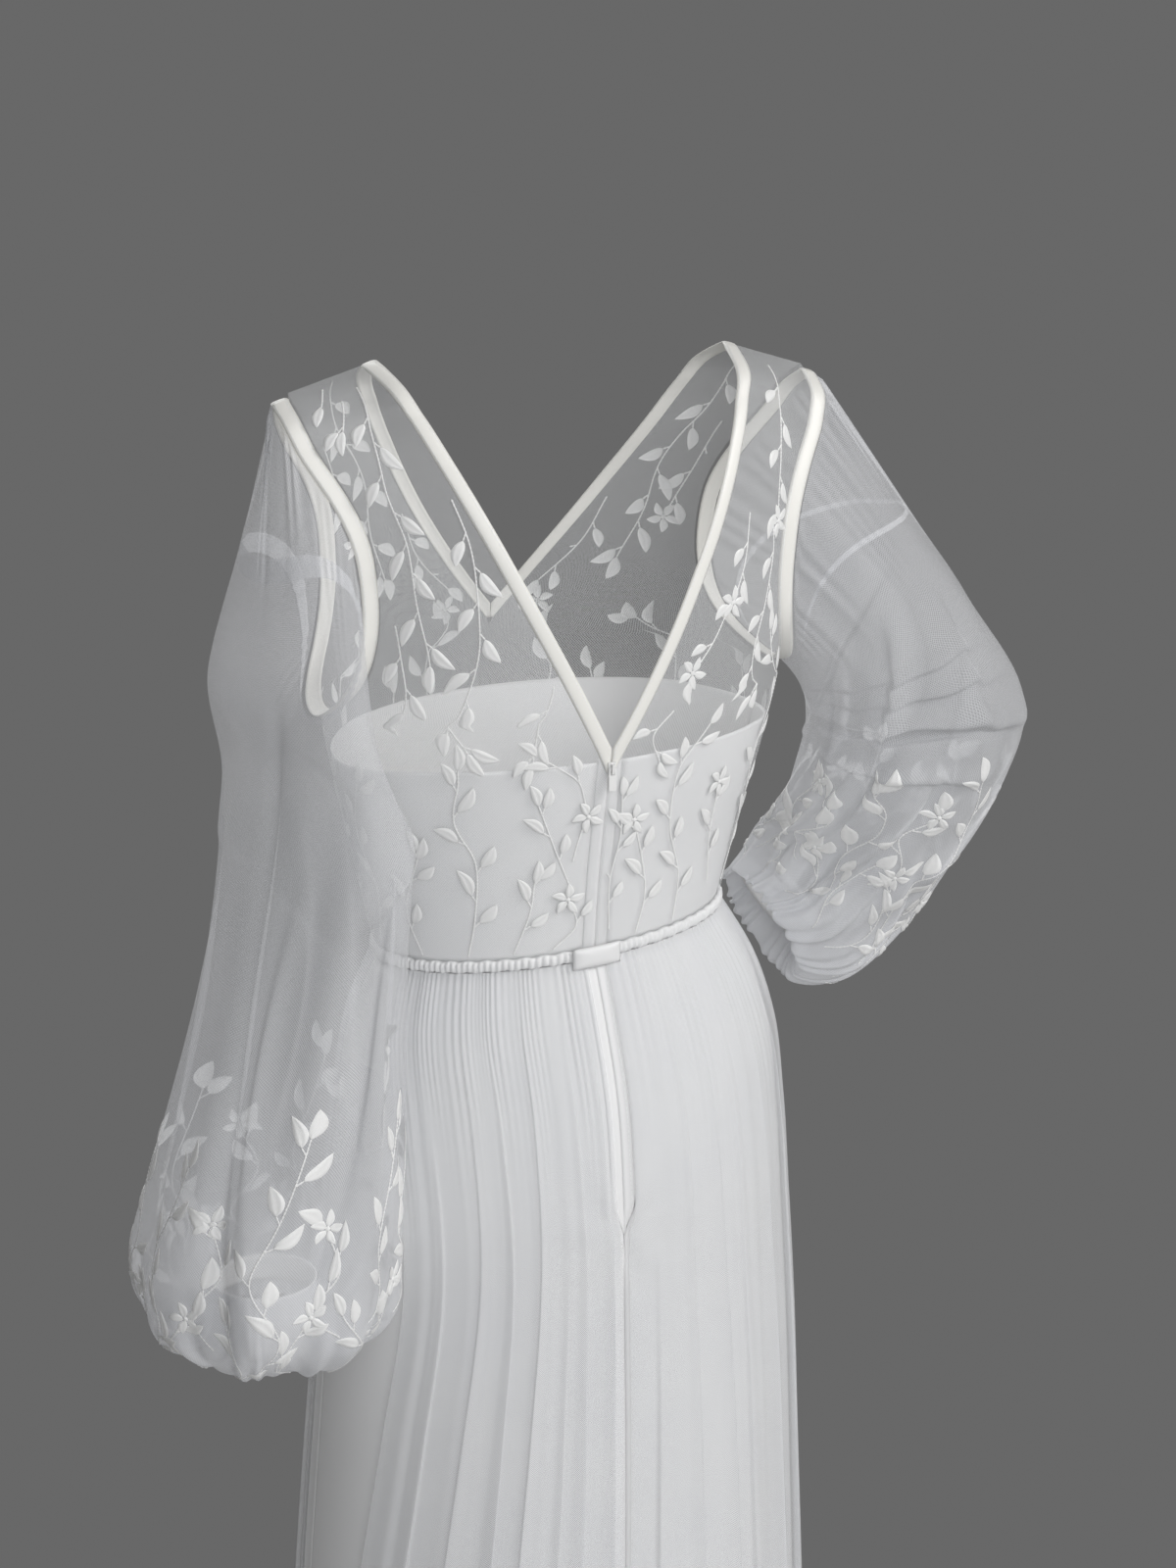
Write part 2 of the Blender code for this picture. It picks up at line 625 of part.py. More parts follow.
def zip_line(offset, side):
    """Points beside the centre back, from the point of the V down to the zip's end."""
    top = NECK_POINT["back"] - LEAST_ROW_GAP
    rises = [top * (1 - step / 5) for step in range(6)]
    points = [torso(side, "back", centre_turn(offset, rise), rise, 0.0) for rise in rises]
    for drop in (0.0, 0.035, 0.090, ZIP_DROP):
        beside = -SIDES[side] * zip_edge(offset, drop)
        points.append(skirt(math.pi / 2 + beside, drop, 0.0))
    return points


def make_zip_tapes():
    """The two satin-covered tapes of the hidden zip."""
    for side in SIDES:
        near = zip_line(ZIP_HALF_GAP, side)
        far = zip_line(ZIP_HALF_GAP + ZIP_TAPE_WIDTH, side)
        rows = [list(pair) for pair in zip(near, far)]
        sheet(f"zip_tape_{side}", rows[::-1], CLOTH, "binding", flip=outward_flip(side, "back"))


def make_waist_tab():
    """The small satin tab that covers the zip where it crosses the waist."""
    rows = []
    out = WAIST_TAPE_THICK + SEAM_GAP + WAIST_TAB_LIFT
    reach = WAIST_TAB_HALF_WIDTH / SKIRT["half_width"][0]
    for lift in (-WAIST_TAB_OVERHANG, WAIST_TAB_OVERHANG + WAIST_TAPE_HEIGHT):
        row = []
        for share in (-1.0, -0.5, 0.0, 0.5, 1.0):
            point = skirt(math.pi / 2 - share * reach, 0.0, out)
            point[2] += lift
            row.append(point)
        rows.append(row[::-1])
    sheet("waist_tab", rows, CLOTH, "satin")


def slider_place():
    """Where the slider sits: the middle of the V's point, on the net's outer face, and the cloth's lean."""
    rise = NECK_POINT["back"] - SLIDER_BELOW_POINT
    out = NET_OUT + CLOTH + 2 * SEAM_GAP
    seat = torso("left", "back", math.pi / 2, rise, out)
    below = torso("left", "back", math.pi / 2, rise - SLIDER_BELOW_POINT, out)
    lean = math.atan2(seat[1] - below[1], seat[2] - below[2])
    return seat, lean


def box(name, centre, size):
    """A box as an object."""
    mesh = bpy.data.meshes.new(name)
    shape = bmesh.new()
    corners = bmesh.ops.create_cube(shape, size=1.0)["verts"]
    bmesh.ops.scale(shape, verts=corners, vec=size)
    bmesh.ops.translate(shape, verts=corners, vec=centre)
    shape.to_mesh(mesh)
    shape.free()
    return bpy.data.objects.new(name, mesh)


def combine(obj, helper, operation):
    """Join a helper to a piece or cut it out, and keep the helper out of the render."""
    HELPERS.objects.link(helper)
    helper.hide_render = True
    helper.display_type = "WIRE"
    step = obj.modifiers.new(helper.name, "BOOLEAN")
    step.operation = operation
    step.object = helper


def make_slider():
    """The zip's slider: a plate with a bridge over it, under which the pull's bar turns."""
    seat, lean = slider_place()
    slider = box("zip_slider", (0, SLIDER_PLATE / 2, 0), (SLIDER_WIDTH, SLIDER_PLATE, SLIDER_HEIGHT))
    bridge = box("slider_bridge", (0, BRIDGE_RISE / 2, 0), (BRIDGE_WIDTH, BRIDGE_RISE, 0.8 * SLIDER_HEIGHT))
    bridge.data.transform(Matrix.Translation((0, BRIDGE_SINK, 0)))
    gap_rise = BRIDGE_RISE - BRIDGE_THICK - SLIDER_PLATE
    gap_size = (2 * SLIDER_WIDTH, gap_rise, 0.5 * SLIDER_HEIGHT)
    gap = box("slider_gap", (0, SLIDER_PLATE + gap_rise / 2, 0), gap_size)
    combine(slider, bridge, "UNION")
    combine(slider, gap, "DIFFERENCE")
    for obj in (slider, bridge, gap):
        obj.location = seat
        obj.rotation_euler = (-lean, 0, 0)
    place(slider, "zip")
    return seat, lean


def make_pull(seat, lean):
    """The pull: a flat drop with a window, whose top bar lies under the slider's bridge."""
    size = (PULL_WIDTH, PULL_BAR, PULL_LENGTH)
    pull = box("zip_pull", (0, 0, (PULL_BAR - PULL_LENGTH) / 2), size)
    window_size = (PULL_WINDOW_WIDTH, 4 * PULL_BAR, PULL_WINDOW)
    window = box("pull_window", (0, 0, -(PULL_BAR + PULL_WINDOW) / 2), window_size)
    combine(pull, window, "DIFFERENCE")
    axis = seat + np.array([0.0, math.cos(lean), -math.sin(lean)]) * PULL_AXIS_OUT
    for obj in (pull, window):
        obj.location = axis
    place(pull, "zip")


clear_scene()
DRESS = make_collection()
HELPERS = bpy.data.collections.new("helpers")
bpy.context.scene.collection.children.link(HELPERS)
make_lining()
make_net_bodice()
make_neck_bindings()
make_armhole_bindings()
make_sleeves()
make_cuffs()
make_waist_tape()
make_skirt_satin()
make_skirt_net()
make_zip_tapes()
make_waist_tab()
make_pull(*make_slider())
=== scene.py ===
"""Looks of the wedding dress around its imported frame: embroidered net over satin, white on white.

Metres, +Z up, +X to the wearer's left, +Y behind the wearer. The origin lies midway between the two
shoulder seams.
"""

import math

import bmesh
import bpy
import numpy as np
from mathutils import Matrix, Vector


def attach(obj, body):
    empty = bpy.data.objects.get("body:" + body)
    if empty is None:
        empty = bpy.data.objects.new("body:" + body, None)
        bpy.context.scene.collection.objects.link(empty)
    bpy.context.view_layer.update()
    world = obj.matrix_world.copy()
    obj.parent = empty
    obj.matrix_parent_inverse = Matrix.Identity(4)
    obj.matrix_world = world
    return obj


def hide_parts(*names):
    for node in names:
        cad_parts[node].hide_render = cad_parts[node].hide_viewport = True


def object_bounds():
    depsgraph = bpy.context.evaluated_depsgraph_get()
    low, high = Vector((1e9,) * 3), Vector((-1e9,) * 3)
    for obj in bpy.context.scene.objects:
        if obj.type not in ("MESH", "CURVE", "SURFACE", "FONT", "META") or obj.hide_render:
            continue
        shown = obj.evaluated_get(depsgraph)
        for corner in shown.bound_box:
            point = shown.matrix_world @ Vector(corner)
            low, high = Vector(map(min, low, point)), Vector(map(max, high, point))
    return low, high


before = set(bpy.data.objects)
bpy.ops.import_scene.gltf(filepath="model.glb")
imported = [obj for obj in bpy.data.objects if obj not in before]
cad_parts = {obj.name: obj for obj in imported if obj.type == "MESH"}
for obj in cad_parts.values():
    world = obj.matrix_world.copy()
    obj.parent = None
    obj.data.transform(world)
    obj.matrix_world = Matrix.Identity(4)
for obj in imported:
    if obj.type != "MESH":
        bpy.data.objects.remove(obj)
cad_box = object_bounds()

# Driving sizes of the cut, as in the solids
CLOTH = 0.001
SEAM_GAP = 0.0003
NET_OUT = 0.0024
NECK_HALF = 0.120
SHOULDER_SLOPE = 0.30
WAIST_Z = -0.378
WAIST_TILT = -0.07
WAIST_TAPE_HEIGHT = 0.007
SKIRT_LENGTH = 1.050
BINDING_WIDTH = 0.009
ARMHOLE_BINDING_WIDTH = 0.011
ARMHOLE_INSET = 0.0040
ARMHOLE_LEAN = 0.30
SLEEVE_START_GAP = 0.0004
UNDERARM_START_GAP = 0.0020
SKIRT_TOP_GAP = 0.0012
UNDERARM_RISE = 0.430
CUFF_HEIGHT = 0.018
CUFF_RADIUS = 0.0325
LINING_TOP_RISE = 0.345
LEVEL_RISE = 0.10
NECK_POINT = {"back": 0.366, "front": 0.500}
NECK_BOW = {"back": 0.07, "front": 0.30}

# Waist tape, the tab over it, and the zip
WAIST_TAPE_THICK = NET_OUT + 1.6 * CLOTH
WAIST_TAB_LIFT = 0.0032
WAIST_TAB_HALF_WIDTH = 0.0160
WAIST_TAB_OVERHANG = 0.0035
ZIP_HALF_GAP = 0.0004
ZIP_TAPE_WIDTH = 0.0080
ZIP_DROP = 0.160
ZIP_CLOSING = 0.022
NET_BESIDE_ZIP = 0.0010
OVERLAY_BESIDE_ZIP = 0.0065
SATIN_SHORTER = 0.006
SEAM_TURN = 0.0018

# Bodice sections from the waist (rise 0) to the shoulder seam (rise 1)
TORSO = {
    "rise":       [0.00, 0.13, 0.29, 0.37, 0.47, 0.64, 0.74, 0.84, 0.92, 0.97, 1.00],
    "half_width": [.1200, .131, .146, .152, .157, .163, .170, .182, .195, .202, .206],
    "back":       [.0780, .083, .092, .096, .099, .099, .094, .079, .058, .036, .000],
    "front":      [.0900, .098, .117, .124, .118, .101, .088, .069, .050, .031, .000],
    "centre_x":   [.0050, .004, .002, .001, .000, .000, .000, .000, .000, .000, .000],
}

# Skirt sections of the satin layer, and the depth of the net's folds, below the waist tape
SKIRT = {
    "drop":       [0.000, 0.035, 0.090, 0.150, 0.225, 0.305, 0.430, 0.555, SKIRT_LENGTH],
    "half_width": [.1200, 0.138, 0.153, 0.160, 0.166, 0.172, 0.180, 0.187, 0.214],
    "back":       [.0780, 0.090, 0.105, 0.115, 0.120, 0.125, 0.133, 0.140, 0.170],
    "front":      [.0900, 0.099, 0.106, 0.110, 0.113, 0.118, 0.126, 0.134, 0.165],
    "centre_x":   [.0050, 0.003, 0.000, 0.000, 0.001, 0.002, 0.005, 0.007, 0.010],
    "fold_depth": [.0030, 0.005, 0.007, 0.008, 0.009, 0.010, 0.011, 0.012, 0.015],
}

# Opening of the skirt's net layer at the wearer's left: degrees from the side to its edge behind and in front
NET_OPENING = {
    "drop":       [0.000, 0.100, 0.200, 0.320, 0.450, 0.600, 0.800, SKIRT_LENGTH],
    "back":       [20, 30, 35.5, 31, 25, 19, 14, 11],
    "front":      [2, 3, 3, 4, 4, 5, 6, 7],
}

# Armhole edge: the turn from the side towards the back or front, from the shoulder (0) to the underarm (180)
ARMHOLE = {
    "around":     [0, 45, 90, 135, 180],
    "back":       [30, 29, 33, 26, 0],
    "front":      [30, 32, 38, 30, 0],
}

# Sleeve rings down the arm: their outer and inner points seen from behind, how far back they lie, their half
# depth, how far their back leans aside, and the depth of their ripples as a share of their size
RINGS = {
    "left": {
        "outer_x":    [0.216, 0.236, 0.265, 0.301, 0.318, 0.318, 0.302, 0.284, 0.276, 0.2735],
        "outer_z":    [-.165, -.255, -.376, -.486, -.540, -.578, -.601, -.606, -.594, -.5670],
        "inner_x":    [0.166, 0.143, 0.140, 0.150, 0.155, 0.160, 0.177, 0.194, 0.202, 0.2039],
        "inner_z":    [-.244, -.284, -.382, -.489, -.543, -.581, -.603, -.608, -.595, -.5670],
        "centre_y":   [0.028, 0.070, 0.074, 0.085, 0.088, 0.088, 0.088, 0.088, 0.088, 0.0880],
        "half_depth": [0.070, 0.080, 0.088, 0.094, 0.097, 0.092, 0.072, 0.053, 0.040, 0.0348],
        "back_shift": [-.026, -.012, 0.000, 0.000, 0.000, 0.000, 0.000, 0.000, 0.000, 0.0000],
        "ripple":     [0.000, 0.015, 0.030, 0.035, 0.040, 0.055, 0.070, 0.050, 0.020, 0.0000],
    },
    "right": {
        "outer_x":    [-.250, -.290, -.324, -.320, -.290, -.264, -.226, -.193, -.200, -.2143],
        "outer_z":    [-.112, -.172, -.235, -.298, -.368, -.422, -.462, -.461, -.442, -.4256],
        "inner_x":    [-.176, -.182, -.180, -.176, -.172, -.168, -.162, -.153, -.1606, -.1747],
        "inner_z":    [-.234, -.264, -.286, -.306, -.328, -.348, -.368, -.380, -.3762, -.3684],
        "centre_y":   [0.020, 0.035, 0.040, 0.030, 0.010, -.010, -.022, -.030, -.030, -.0300],
        "half_depth": [0.062, 0.068, 0.072, 0.072, 0.070, 0.068, 0.062, 0.047, 0.038, 0.0348],
        "back_shift": [0.012, 0.008, 0.000, 0.000, 0.000, 0.000, 0.000, 0.000, 0.000, 0.0000],
        "ripple":     [0.010, 0.020, 0.025, 0.030, 0.035, 0.045, 0.060, 0.045, 0.015, 0.0000],
    },
}
SLEEVE_LAST = len(RINGS["left"]["outer_x"])
SLEEVE_LOBES = 8
LOBE_DRIFT = 0.6
CAP_SEAM_LEAST = 0.20
CAP_SEAM_REACH = {"left": 0.50, "right": 0.80}
CAP_SEAM_FALL = {"left": 2.4, "right": 1.5}

# Sides and faces of the dress, and the small steps over which its slopes are measured
SIDES = {"left": 1, "right": -1}
FACES = {"back": 1, "front": -1}
PROBE = 0.004
ARMHOLE_PROBE = 3.0
STATION_PROBE = 0.02
AROUND_PROBE = 1.0
NO_LENGTH = 1e-12

# Fineness of the cloth's grids
BODICE_COLUMNS = 40
BODICE_ROWS = 90
SLEEVE_COLUMNS = 280
SLEEVE_ROWS = 200
SKIRT_FOLDS = 40
SKIRT_FOLD_COLUMNS = 20
SKIRT_ROWS = 110

# Creases of the sleeves: degrees round the arm (0 outer, 90 behind, 180 inner) where each starts and ends,
# the stations down the arm between which it runs, its half width in degrees, its depth (a ridge is above 0),
# and how far its crest leans over aside, in half widths
SLEEVE_CREASES = {
    "left": [
        (18, 52, 1.2, 6.2, 5, -0.007, 1.3),
        (52, 66, 2.2, 6.0, 7, 0.006, -1.2),
        (96, 88, 1.6, 5.4, 11, -0.005, 1.3),
        (128, 140, 2.6, 6.2, 8, 0.006, -1.3),
        (165, 176, 1.4, 5.8, 9, -0.006, 1.3),
        (210, 200, 1.2, 6.0, 9, 0.006, 1.2),
        (250, 262, 2.0, 6.2, 8, -0.007, -1.3),
        (300, 290, 1.0, 5.6, 10, 0.006, 1.3),
        (335, 322, 2.4, 6.0, 7, -0.006, -1.2),
        (74, 110, 0.8, 2.2, 12, 0.003, 1.2),
    ],
    "right": [
        (88, 130, 1.0, 2.6, 7, 0.004, 1.0),
        (124, 166, 0.9, 2.8, 7, -0.004, 1.0),
        (60, 84, 1.2, 3.0, 8, 0.003, -1.0),
        (128, 150, 2.6, 7.0, 8, 0.009, 1.5),
        (96, 116, 3.0, 7.2, 6, -0.007, 1.2),
        (112, 140, 3.6, 7.4, 7, 0.008, -1.4),
        (148, 168, 2.4, 7.0, 7, 0.006, 1.4),
        (200, 190, 1.0, 5.6, 9, 0.006, 1.2),
        (250, 262, 1.2, 6.0, 9, -0.006, -1.2),
        (300, 286, 1.0, 5.8, 9, 0.006, 1.2),
        (340, 330, 2.0, 6.2, 8, -0.005, -1.2),
        (40, 88, 3.0, 6.8, 7, 0.006, 1.2),
        (82, 40, 4.4, 7.2, 7, -0.005, 1.2),
    ],
}

# The creases lean over less where the sleeve fills out: by what share, from which station, and over how many
SLACK_FADE = 0.65
SLACK_FROM = 3.0
SLACK_OVER = 1.4

# Folds that drape across the sleeves: the stations where each starts and ends, the degrees round the arm
# between which it runs, its half width in stations, its depth, and how far its crest leans over, in half
# widths
SLEEVE_DRAPES = {
    "left": [
        (2.40, 1.40, 60, 190, 0.16, 0.003, 1.0),
        (2.90, 2.00, 210, 330, 0.16, 0.003, 1.0),
    ],
    "right": [
        (3.20, 1.30, 22, 192, 0.13, 0.007, 1.2),
        (2.55, 1.05, 30, 188, 0.10, 0.004, 1.1),
        (2.90, 1.70, 60, 190, 0.10, -0.005, 1.1),
        (2.10, 0.85, 36, 180, 0.10, 0.004, 1.1),
        (3.70, 2.50, 64, 190, 0.12, 0.004, 1.0),
        (2.40, 1.40, 190, 320, 0.14, 0.005, 1.0),
    ],
}

# How bluntly the listed creases end, and over how many stations they rise from the armhole and sink to the
# cuff
SLEEVE_CREASE_END = 0.8
NET_CREASE_END = 0.6
CREASE_START = 0.10
CREASE_STOP = 0.4

# Gathers where the sleeve is drawn in to the armhole and to the cuff. Here and below, a row of waves is a
# wave's height, its count in a whole round, and its start in radians.
ARMHOLE_GATHERS = 38
ARMHOLE_GATHER_DEPTH = 0.0024
ARMHOLE_GATHER_REACH = {"left": 1.1, "right": 1.7}
CUFF_GATHERS = 26
CUFF_GATHER_DEPTH = 0.0026
CUFF_GATHER_FROM = 4.6
CUFF_GATHER_OVER = 2.2
CUFF_FLAT_FROM = 8.2
CUFF_FLAT_OVER = 1.8
CUFF_FLATTER = 0.6
GATHER_WANDER = 0.22
GATHER_WANDER_WAVES = [(0.35, 5, 0.7), (0.25, 11, 0.0)]
GATHER_HEIGHT_WAVES = [(0.3, 3, 1.1)]
GATHER_HEIGHT_MEAN = 0.7
GATHER_REACH_WAVES = [(0.25, 7, 0.0)]
GATHER_REACH_MEAN = 0.75

# Bindings, seam strips, waist band and zip tapes
BINDING_ROWS = 96
BINDING_COLUMNS = 7
BINDING_CROWN = 0.0009
CAP_ROWS = 40
SEAM_STRIP_ROWS = 5
SEAM_STRIP_HALF = {"left": 0.045, "right": 0.018}
SEAM_STRIP_LAYERS = 2
SEAM_STRIP_STEP = 0.0006
WAIST_COLUMNS = 720
WAIST_ROWS = 9
WAIST_PUCKERS = 170
WAIST_PUCKER = 0.0008
WAIST_PUCKER_SHIFT = [(2.0, 7, 0.0)]
WAIST_WANDER = 0.0005
WAIST_WANDERS = WAIST_PUCKERS / 3
WAIST_ROUNDNESS = 0.45
WAIST_EDGE_OUT = NET_OUT - 1.2 * CLOTH
TAB_SINK = 0.0024
TAB_COLUMNS = 17
TAB_ROWS = 11
ZIP_ROWS = 40
TAPE_BELOW_POINT = 0.012
TAPE_CROWN = 0.0006
TAPE_TURN_IN = 0.0024
WELD_DISTANCE = 1e-6

# Main creases of the skirt's net: the degrees round it (90 is behind) where each starts and ends, the drops
# between which it runs, its half width in degrees, its height, and how far its crest leans over aside, in
# half widths
NET_CREASES = [
    (104, 108, 0.02, 1.30, 1.2, 0.0035, 1.4),
    (96, 97, 0.18, 1.20, 1.7, 0.0045, -1.5),
    (86, 84, 0.00, 0.70, 1.0, 0.0025, 1.6),
    (76, 71, 0.03, 1.40, 1.9, 0.0050, 1.5),
    (62, 55, 0.02, 1.30, 1.5, 0.0035, -1.4),
    (48, 41, 0.05, 1.40, 2.1, 0.0050, 1.5),
    (36, 31, 0.10, 1.30, 1.7, 0.0040, -1.6),
    (112, 118, 0.00, 0.80, 1.3, 0.0028, 1.5),
    (122, 131, 0.04, 1.40, 1.8, 0.0045, -1.4),
    (134, 139, 0.02, 1.20, 1.4, 0.0030, 1.6),
    (70, 66, 0.20, 1.30, 1.2, 0.0028, 1.4),
    (150, 155, 0.03, 1.40, 2.0, 0.0050, -1.5),
    (168, 171, 0.00, 1.30, 1.6, 0.0036, 1.5),
    (188, 186, 0.06, 1.20, 1.3, 0.0030, -1.4),
    (207, 211, 0.02, 1.40, 2.1, 0.0045, 1.5),
    (226, 228, 0.05, 1.30, 1.6, 0.0038, 1.4),
    (244, 241, 0.00, 1.20, 1.9, 0.0042, -1.5),
    (262, 265, 0.04, 1.40, 1.4, 0.0034, 1.5),
    (281, 284, 0.08, 1.30, 2.0, 0.0045, -1.4),
    (300, 297, 0.02, 1.40, 1.5, 0.0036, 1.5),
    (318, 321, 0.05, 1.30, 1.8, 0.0042, 1.4),
    (337, 335, 0.00, 1.40, 1.6, 0.0040, -1.5),
    (18, 13, 0.10, 1.30, 1.7, 0.0034, 1.4),
]

# Even folds of the skirt's net, the waves that make them uneven in height, and those that shift them aside,
# with how far a shift's start moves in each metre down
FOLD_SHARE = 0.20
FOLD_REST = 0.28
FOLD_MEAN = 0.42
FOLD_LEAST = 0.05
FOLD_WAVES = [(0.27, 6.3, 0.0), (0.20, 11, 1.0), (0.14, 17, 2.2)]
FOLD_SHIFTS = [(0.035, 7, 0.6, 0.0), (0.022, 19, 1.7, 0.8)]

# Gathers of the skirt's net: shifts of its even folds, and the finer ones below the waist
UNEVEN_FOLDS = [(0.012, 4, 0.0), (0.008, 12, 0.0), (0.006, 20, 0.0)]
WAIST_GATHERS = 150
WAIST_GATHER_DEPTH = 0.0016
WAIST_GATHER_DROP = 0.150
WAIST_GATHER_SHIFTS = [(3.5, 7, 0.0), (2.2, 16, 1.0)]
WAIST_GATHER_MEAN = 0.6
WAIST_GATHER_WAVES = [(0.4, 23, 0.4)]
WAIST_GATHER_ENDS = [(0.35, 13, 0.8)]
ROWS_NEAR_WAIST = 1.3
SATIN_COLUMNS = 90
EDGE_SHARE = 0.04
ZIP_DRAW = 0.10
PUCKERS = 7
PUCKER_PHASE = 0.6
PUCKER_MIDDLE = 1e-6
PUCKER_HEIGHT = 0.0018
PUCKER_SPREAD = 0.034
PUCKER_START = 0.012

# Embroidery: leaf and petal sizes, the chain-stitch stems, and how high the thread stands
LEAF_LENGTH = 0.0185
LEAF_WIDTH = 0.0080
LEAF_ROWS = 10
LEAF_COLUMNS = 7
LEAF_BEND = 0.10
LEAF_CROWN = 0.0010
LEAF_GROOVE = 0.55
LEAF_GROOVE_WIDTH = 0.28
LEAF_ROUNDNESS = 0.8
LEAF_WIDEST_EARLY = 0.85
LEAF_TIP_HEIGHT = 0.25
LEAF_LEAN = 38
LEAF_TURN_BACK = 6
LEAF_UNEVEN = 0.12
LEAF_RHYTHM = 2.3
STALK = 0.0050
PETALS = 5
PETAL_LENGTH = 0.0105
PETAL_WIDTH = 0.0056
PETAL_START = 0.0012
FLOWER_TURN = 20
KNOT = 0.0017
KNOT_SIDES = 9
KNOT_RINGS = 4
KNOT_CROWN = 1.2
KNOT_FALL = 0.99
STEM_HALF_WIDTH = 0.00062
STEM_CROWN = 0.0006
STEM_LINK = 0.0026
STEM_STEP = 0.00065
STEM_POINTS = 40
LINK_NARROW = 0.55
LINK_LOW = 0.45
LAST_LEAF_GAP = 0.001
THREAD_LIFT = 0.00025

# How many rows and columns either side a place's directions are measured, and how far inside a grid's last
# row and column a place stays
FRAME_REACH = 2.5
GRID_MARGIN = 0.001

# Stems on the bodice net: the rises and the shares of the panel's width that each goes through from its root,
# the gap between its leaves, their size against the full one, and whether it ends in a flower
BODICE_STEMS = {
    "back_left": [
        ([0.98, 0.88, 0.81, 0.73, 0.63, 0.53], [0.22, 0.46, 0.62, 0.66, 0.70, 0.63], 0.021, 1.00, False),
        ([0.80, 0.73, 0.64, 0.57, 0.47, 0.38], [0.06, 0.12, 0.25, 0.33, 0.42, 0.37], 0.021, 1.00, False),
        ([0.99, 0.97], [0.55, 0.70], 0.016, 0.90, False),
        ([0.97, 0.93], [0.45, 0.62], 0.018, 0.90, False),
        ([0.60, 0.53, 0.45], [0.88, 0.80, 0.66], 0.020, 0.95, False),
        ([0.49, 0.43, 0.35], [0.04, 0.12, 0.20], 0.016, 0.85, False),
        ([0.01, 0.08, 0.18, 0.26, 0.35], [0.46, 0.42, 0.40, 0.46, 0.42], 0.020, 1.00, False),
        ([0.01, 0.09, 0.19], [0.66, 0.70, 0.61], 0.018, 0.90, False),
        ([0.01, 0.08, 0.14], [0.29, 0.23, 0.21], 0.017, 0.85, False),
        ([0.01, 0.05, 0.10], [0.15, 0.07, 0.10], 0.024, 0.75, True),
        ([0.13, 0.20, 0.28], [0.10, 0.15, 0.20], 0.018, 0.85, False),
        ([0.17, 0.22, 0.25], [0.09, 0.07, 0.05], 0.030, 0.80, True),
        ([0.27, 0.32, 0.37], [0.06, 0.09, 0.17], 0.018, 0.85, False),
        ([0.02, 0.12, 0.22, 0.32], [0.93, 0.86, 0.92, 0.84], 0.022, 0.90, False),
    ],
    "back_right": [
        ([0.98, 0.90, 0.82, 0.72], [0.30, 0.44, 0.62, 0.80], 0.020, 0.90, True),
        ([0.72, 0.66, 0.58, 0.50, 0.41], [0.70, 0.78, 0.72, 0.58, 0.46], 0.019, 0.90, False),
        ([0.74, 0.66, 0.59], [0.30, 0.38, 0.34], 0.019, 0.85, True),
        ([0.58, 0.53, 0.48], [0.30, 0.24, 0.15], 0.024, 0.80, True),
        ([0.42, 0.38, 0.33], [0.10, 0.07, 0.14], 0.016, 0.80, False),
        ([0.01, 0.08, 0.15, 0.23], [0.15, 0.17, 0.14, 0.09], 0.019, 0.90, True),
        ([0.01, 0.10, 0.20, 0.30, 0.38], [0.32, 0.31, 0.23, 0.22, 0.28], 0.019, 0.90, False),
        ([0.03, 0.12, 0.20, 0.28], [0.04, 0.03, 0.05, 0.04], 0.018, 0.75, False),
        ([0.06, 0.16, 0.26], [0.50, 0.44, 0.42], 0.020, 0.85, True),
        ([0.04, 0.16, 0.28, 0.40, 0.52], [0.66, 0.72, 0.64, 0.72, 0.78], 0.021, 0.90, False),
        ([0.02, 0.14, 0.26, 0.36], [0.92, 0.86, 0.93, 0.88], 0.022, 0.90, False),
    ],
    "front": [
        ([0.98, 0.88, 0.78, 0.68, 0.58], [0.30, 0.42, 0.38, 0.50, 0.46], 0.021, 1.00, False),
        ([0.86, 0.76, 0.66], [0.72, 0.80, 0.70], 0.021, 0.95, True),
        ([0.70, 0.62, 0.54], [0.10, 0.16, 0.08], 0.020, 0.90, False),
        ([0.01, 0.12, 0.24, 0.36, 0.50], [0.12, 0.17, 0.12, 0.20, 0.15], 0.021, 1.00, True),
        ([0.01, 0.12, 0.24, 0.36], [0.36, 0.31, 0.37, 0.32], 0.020, 0.95, False),
        ([0.01, 0.10, 0.22, 0.34, 0.46], [0.56, 0.61, 0.54, 0.60, 0.56], 0.021, 1.00, False),
        ([0.01, 0.12, 0.22], [0.78, 0.74, 0.79], 0.019, 0.90, True),
        ([0.02, 0.14, 0.28, 0.40], [0.94, 0.88, 0.94, 0.86], 0.022, 0.90, False),
    ],
}

# Sprigs above the sleeves' gathered hems, each in its own part of the way round: how far down the cloth it
# starts and ends, how far it sways aside, and whether it ends in a flower
SLEEVE_SPRIGS = {
    "starts":  [0.64, 0.58, 0.66, 0.56, 0.62, 0.59, 0.65, 0.57, 0.63, 0.60, 0.64, 0.58, 0.62],
    "ends":    [0.34, 0.38, 0.33, 0.40, 0.34, 0.38, 0.33, 0.38, 0.35, 0.40, 0.36, 0.39, 0.35],
    "sway":    [0.018, -.014, 0.020, -.018, 0.014, 0.018, -.016, 0.018, -.019, 0.015, -.012, 0.016, -.017],
    "flower":  [0, 1, 0, 1, 0, 0, 1, 0, 0, 1, 0, 1, 0],
}
SPRIG_LEAF_GAP = 0.021
LOW_SPRIG_START = 0.74
LOW_SPRIG_END = 0.50
LOW_SPRIG_SPREAD = 0.05
LOW_SPRIG_SIZE = 0.9
LOW_SPRIG_LEAF_GAP = 0.018

# Seam stitches
STITCH_GAP = 0.0032
STITCH_LENGTH = 0.0023
STITCH_HALF_WIDTH = 0.00028
STITCH_CROWN = 0.0003

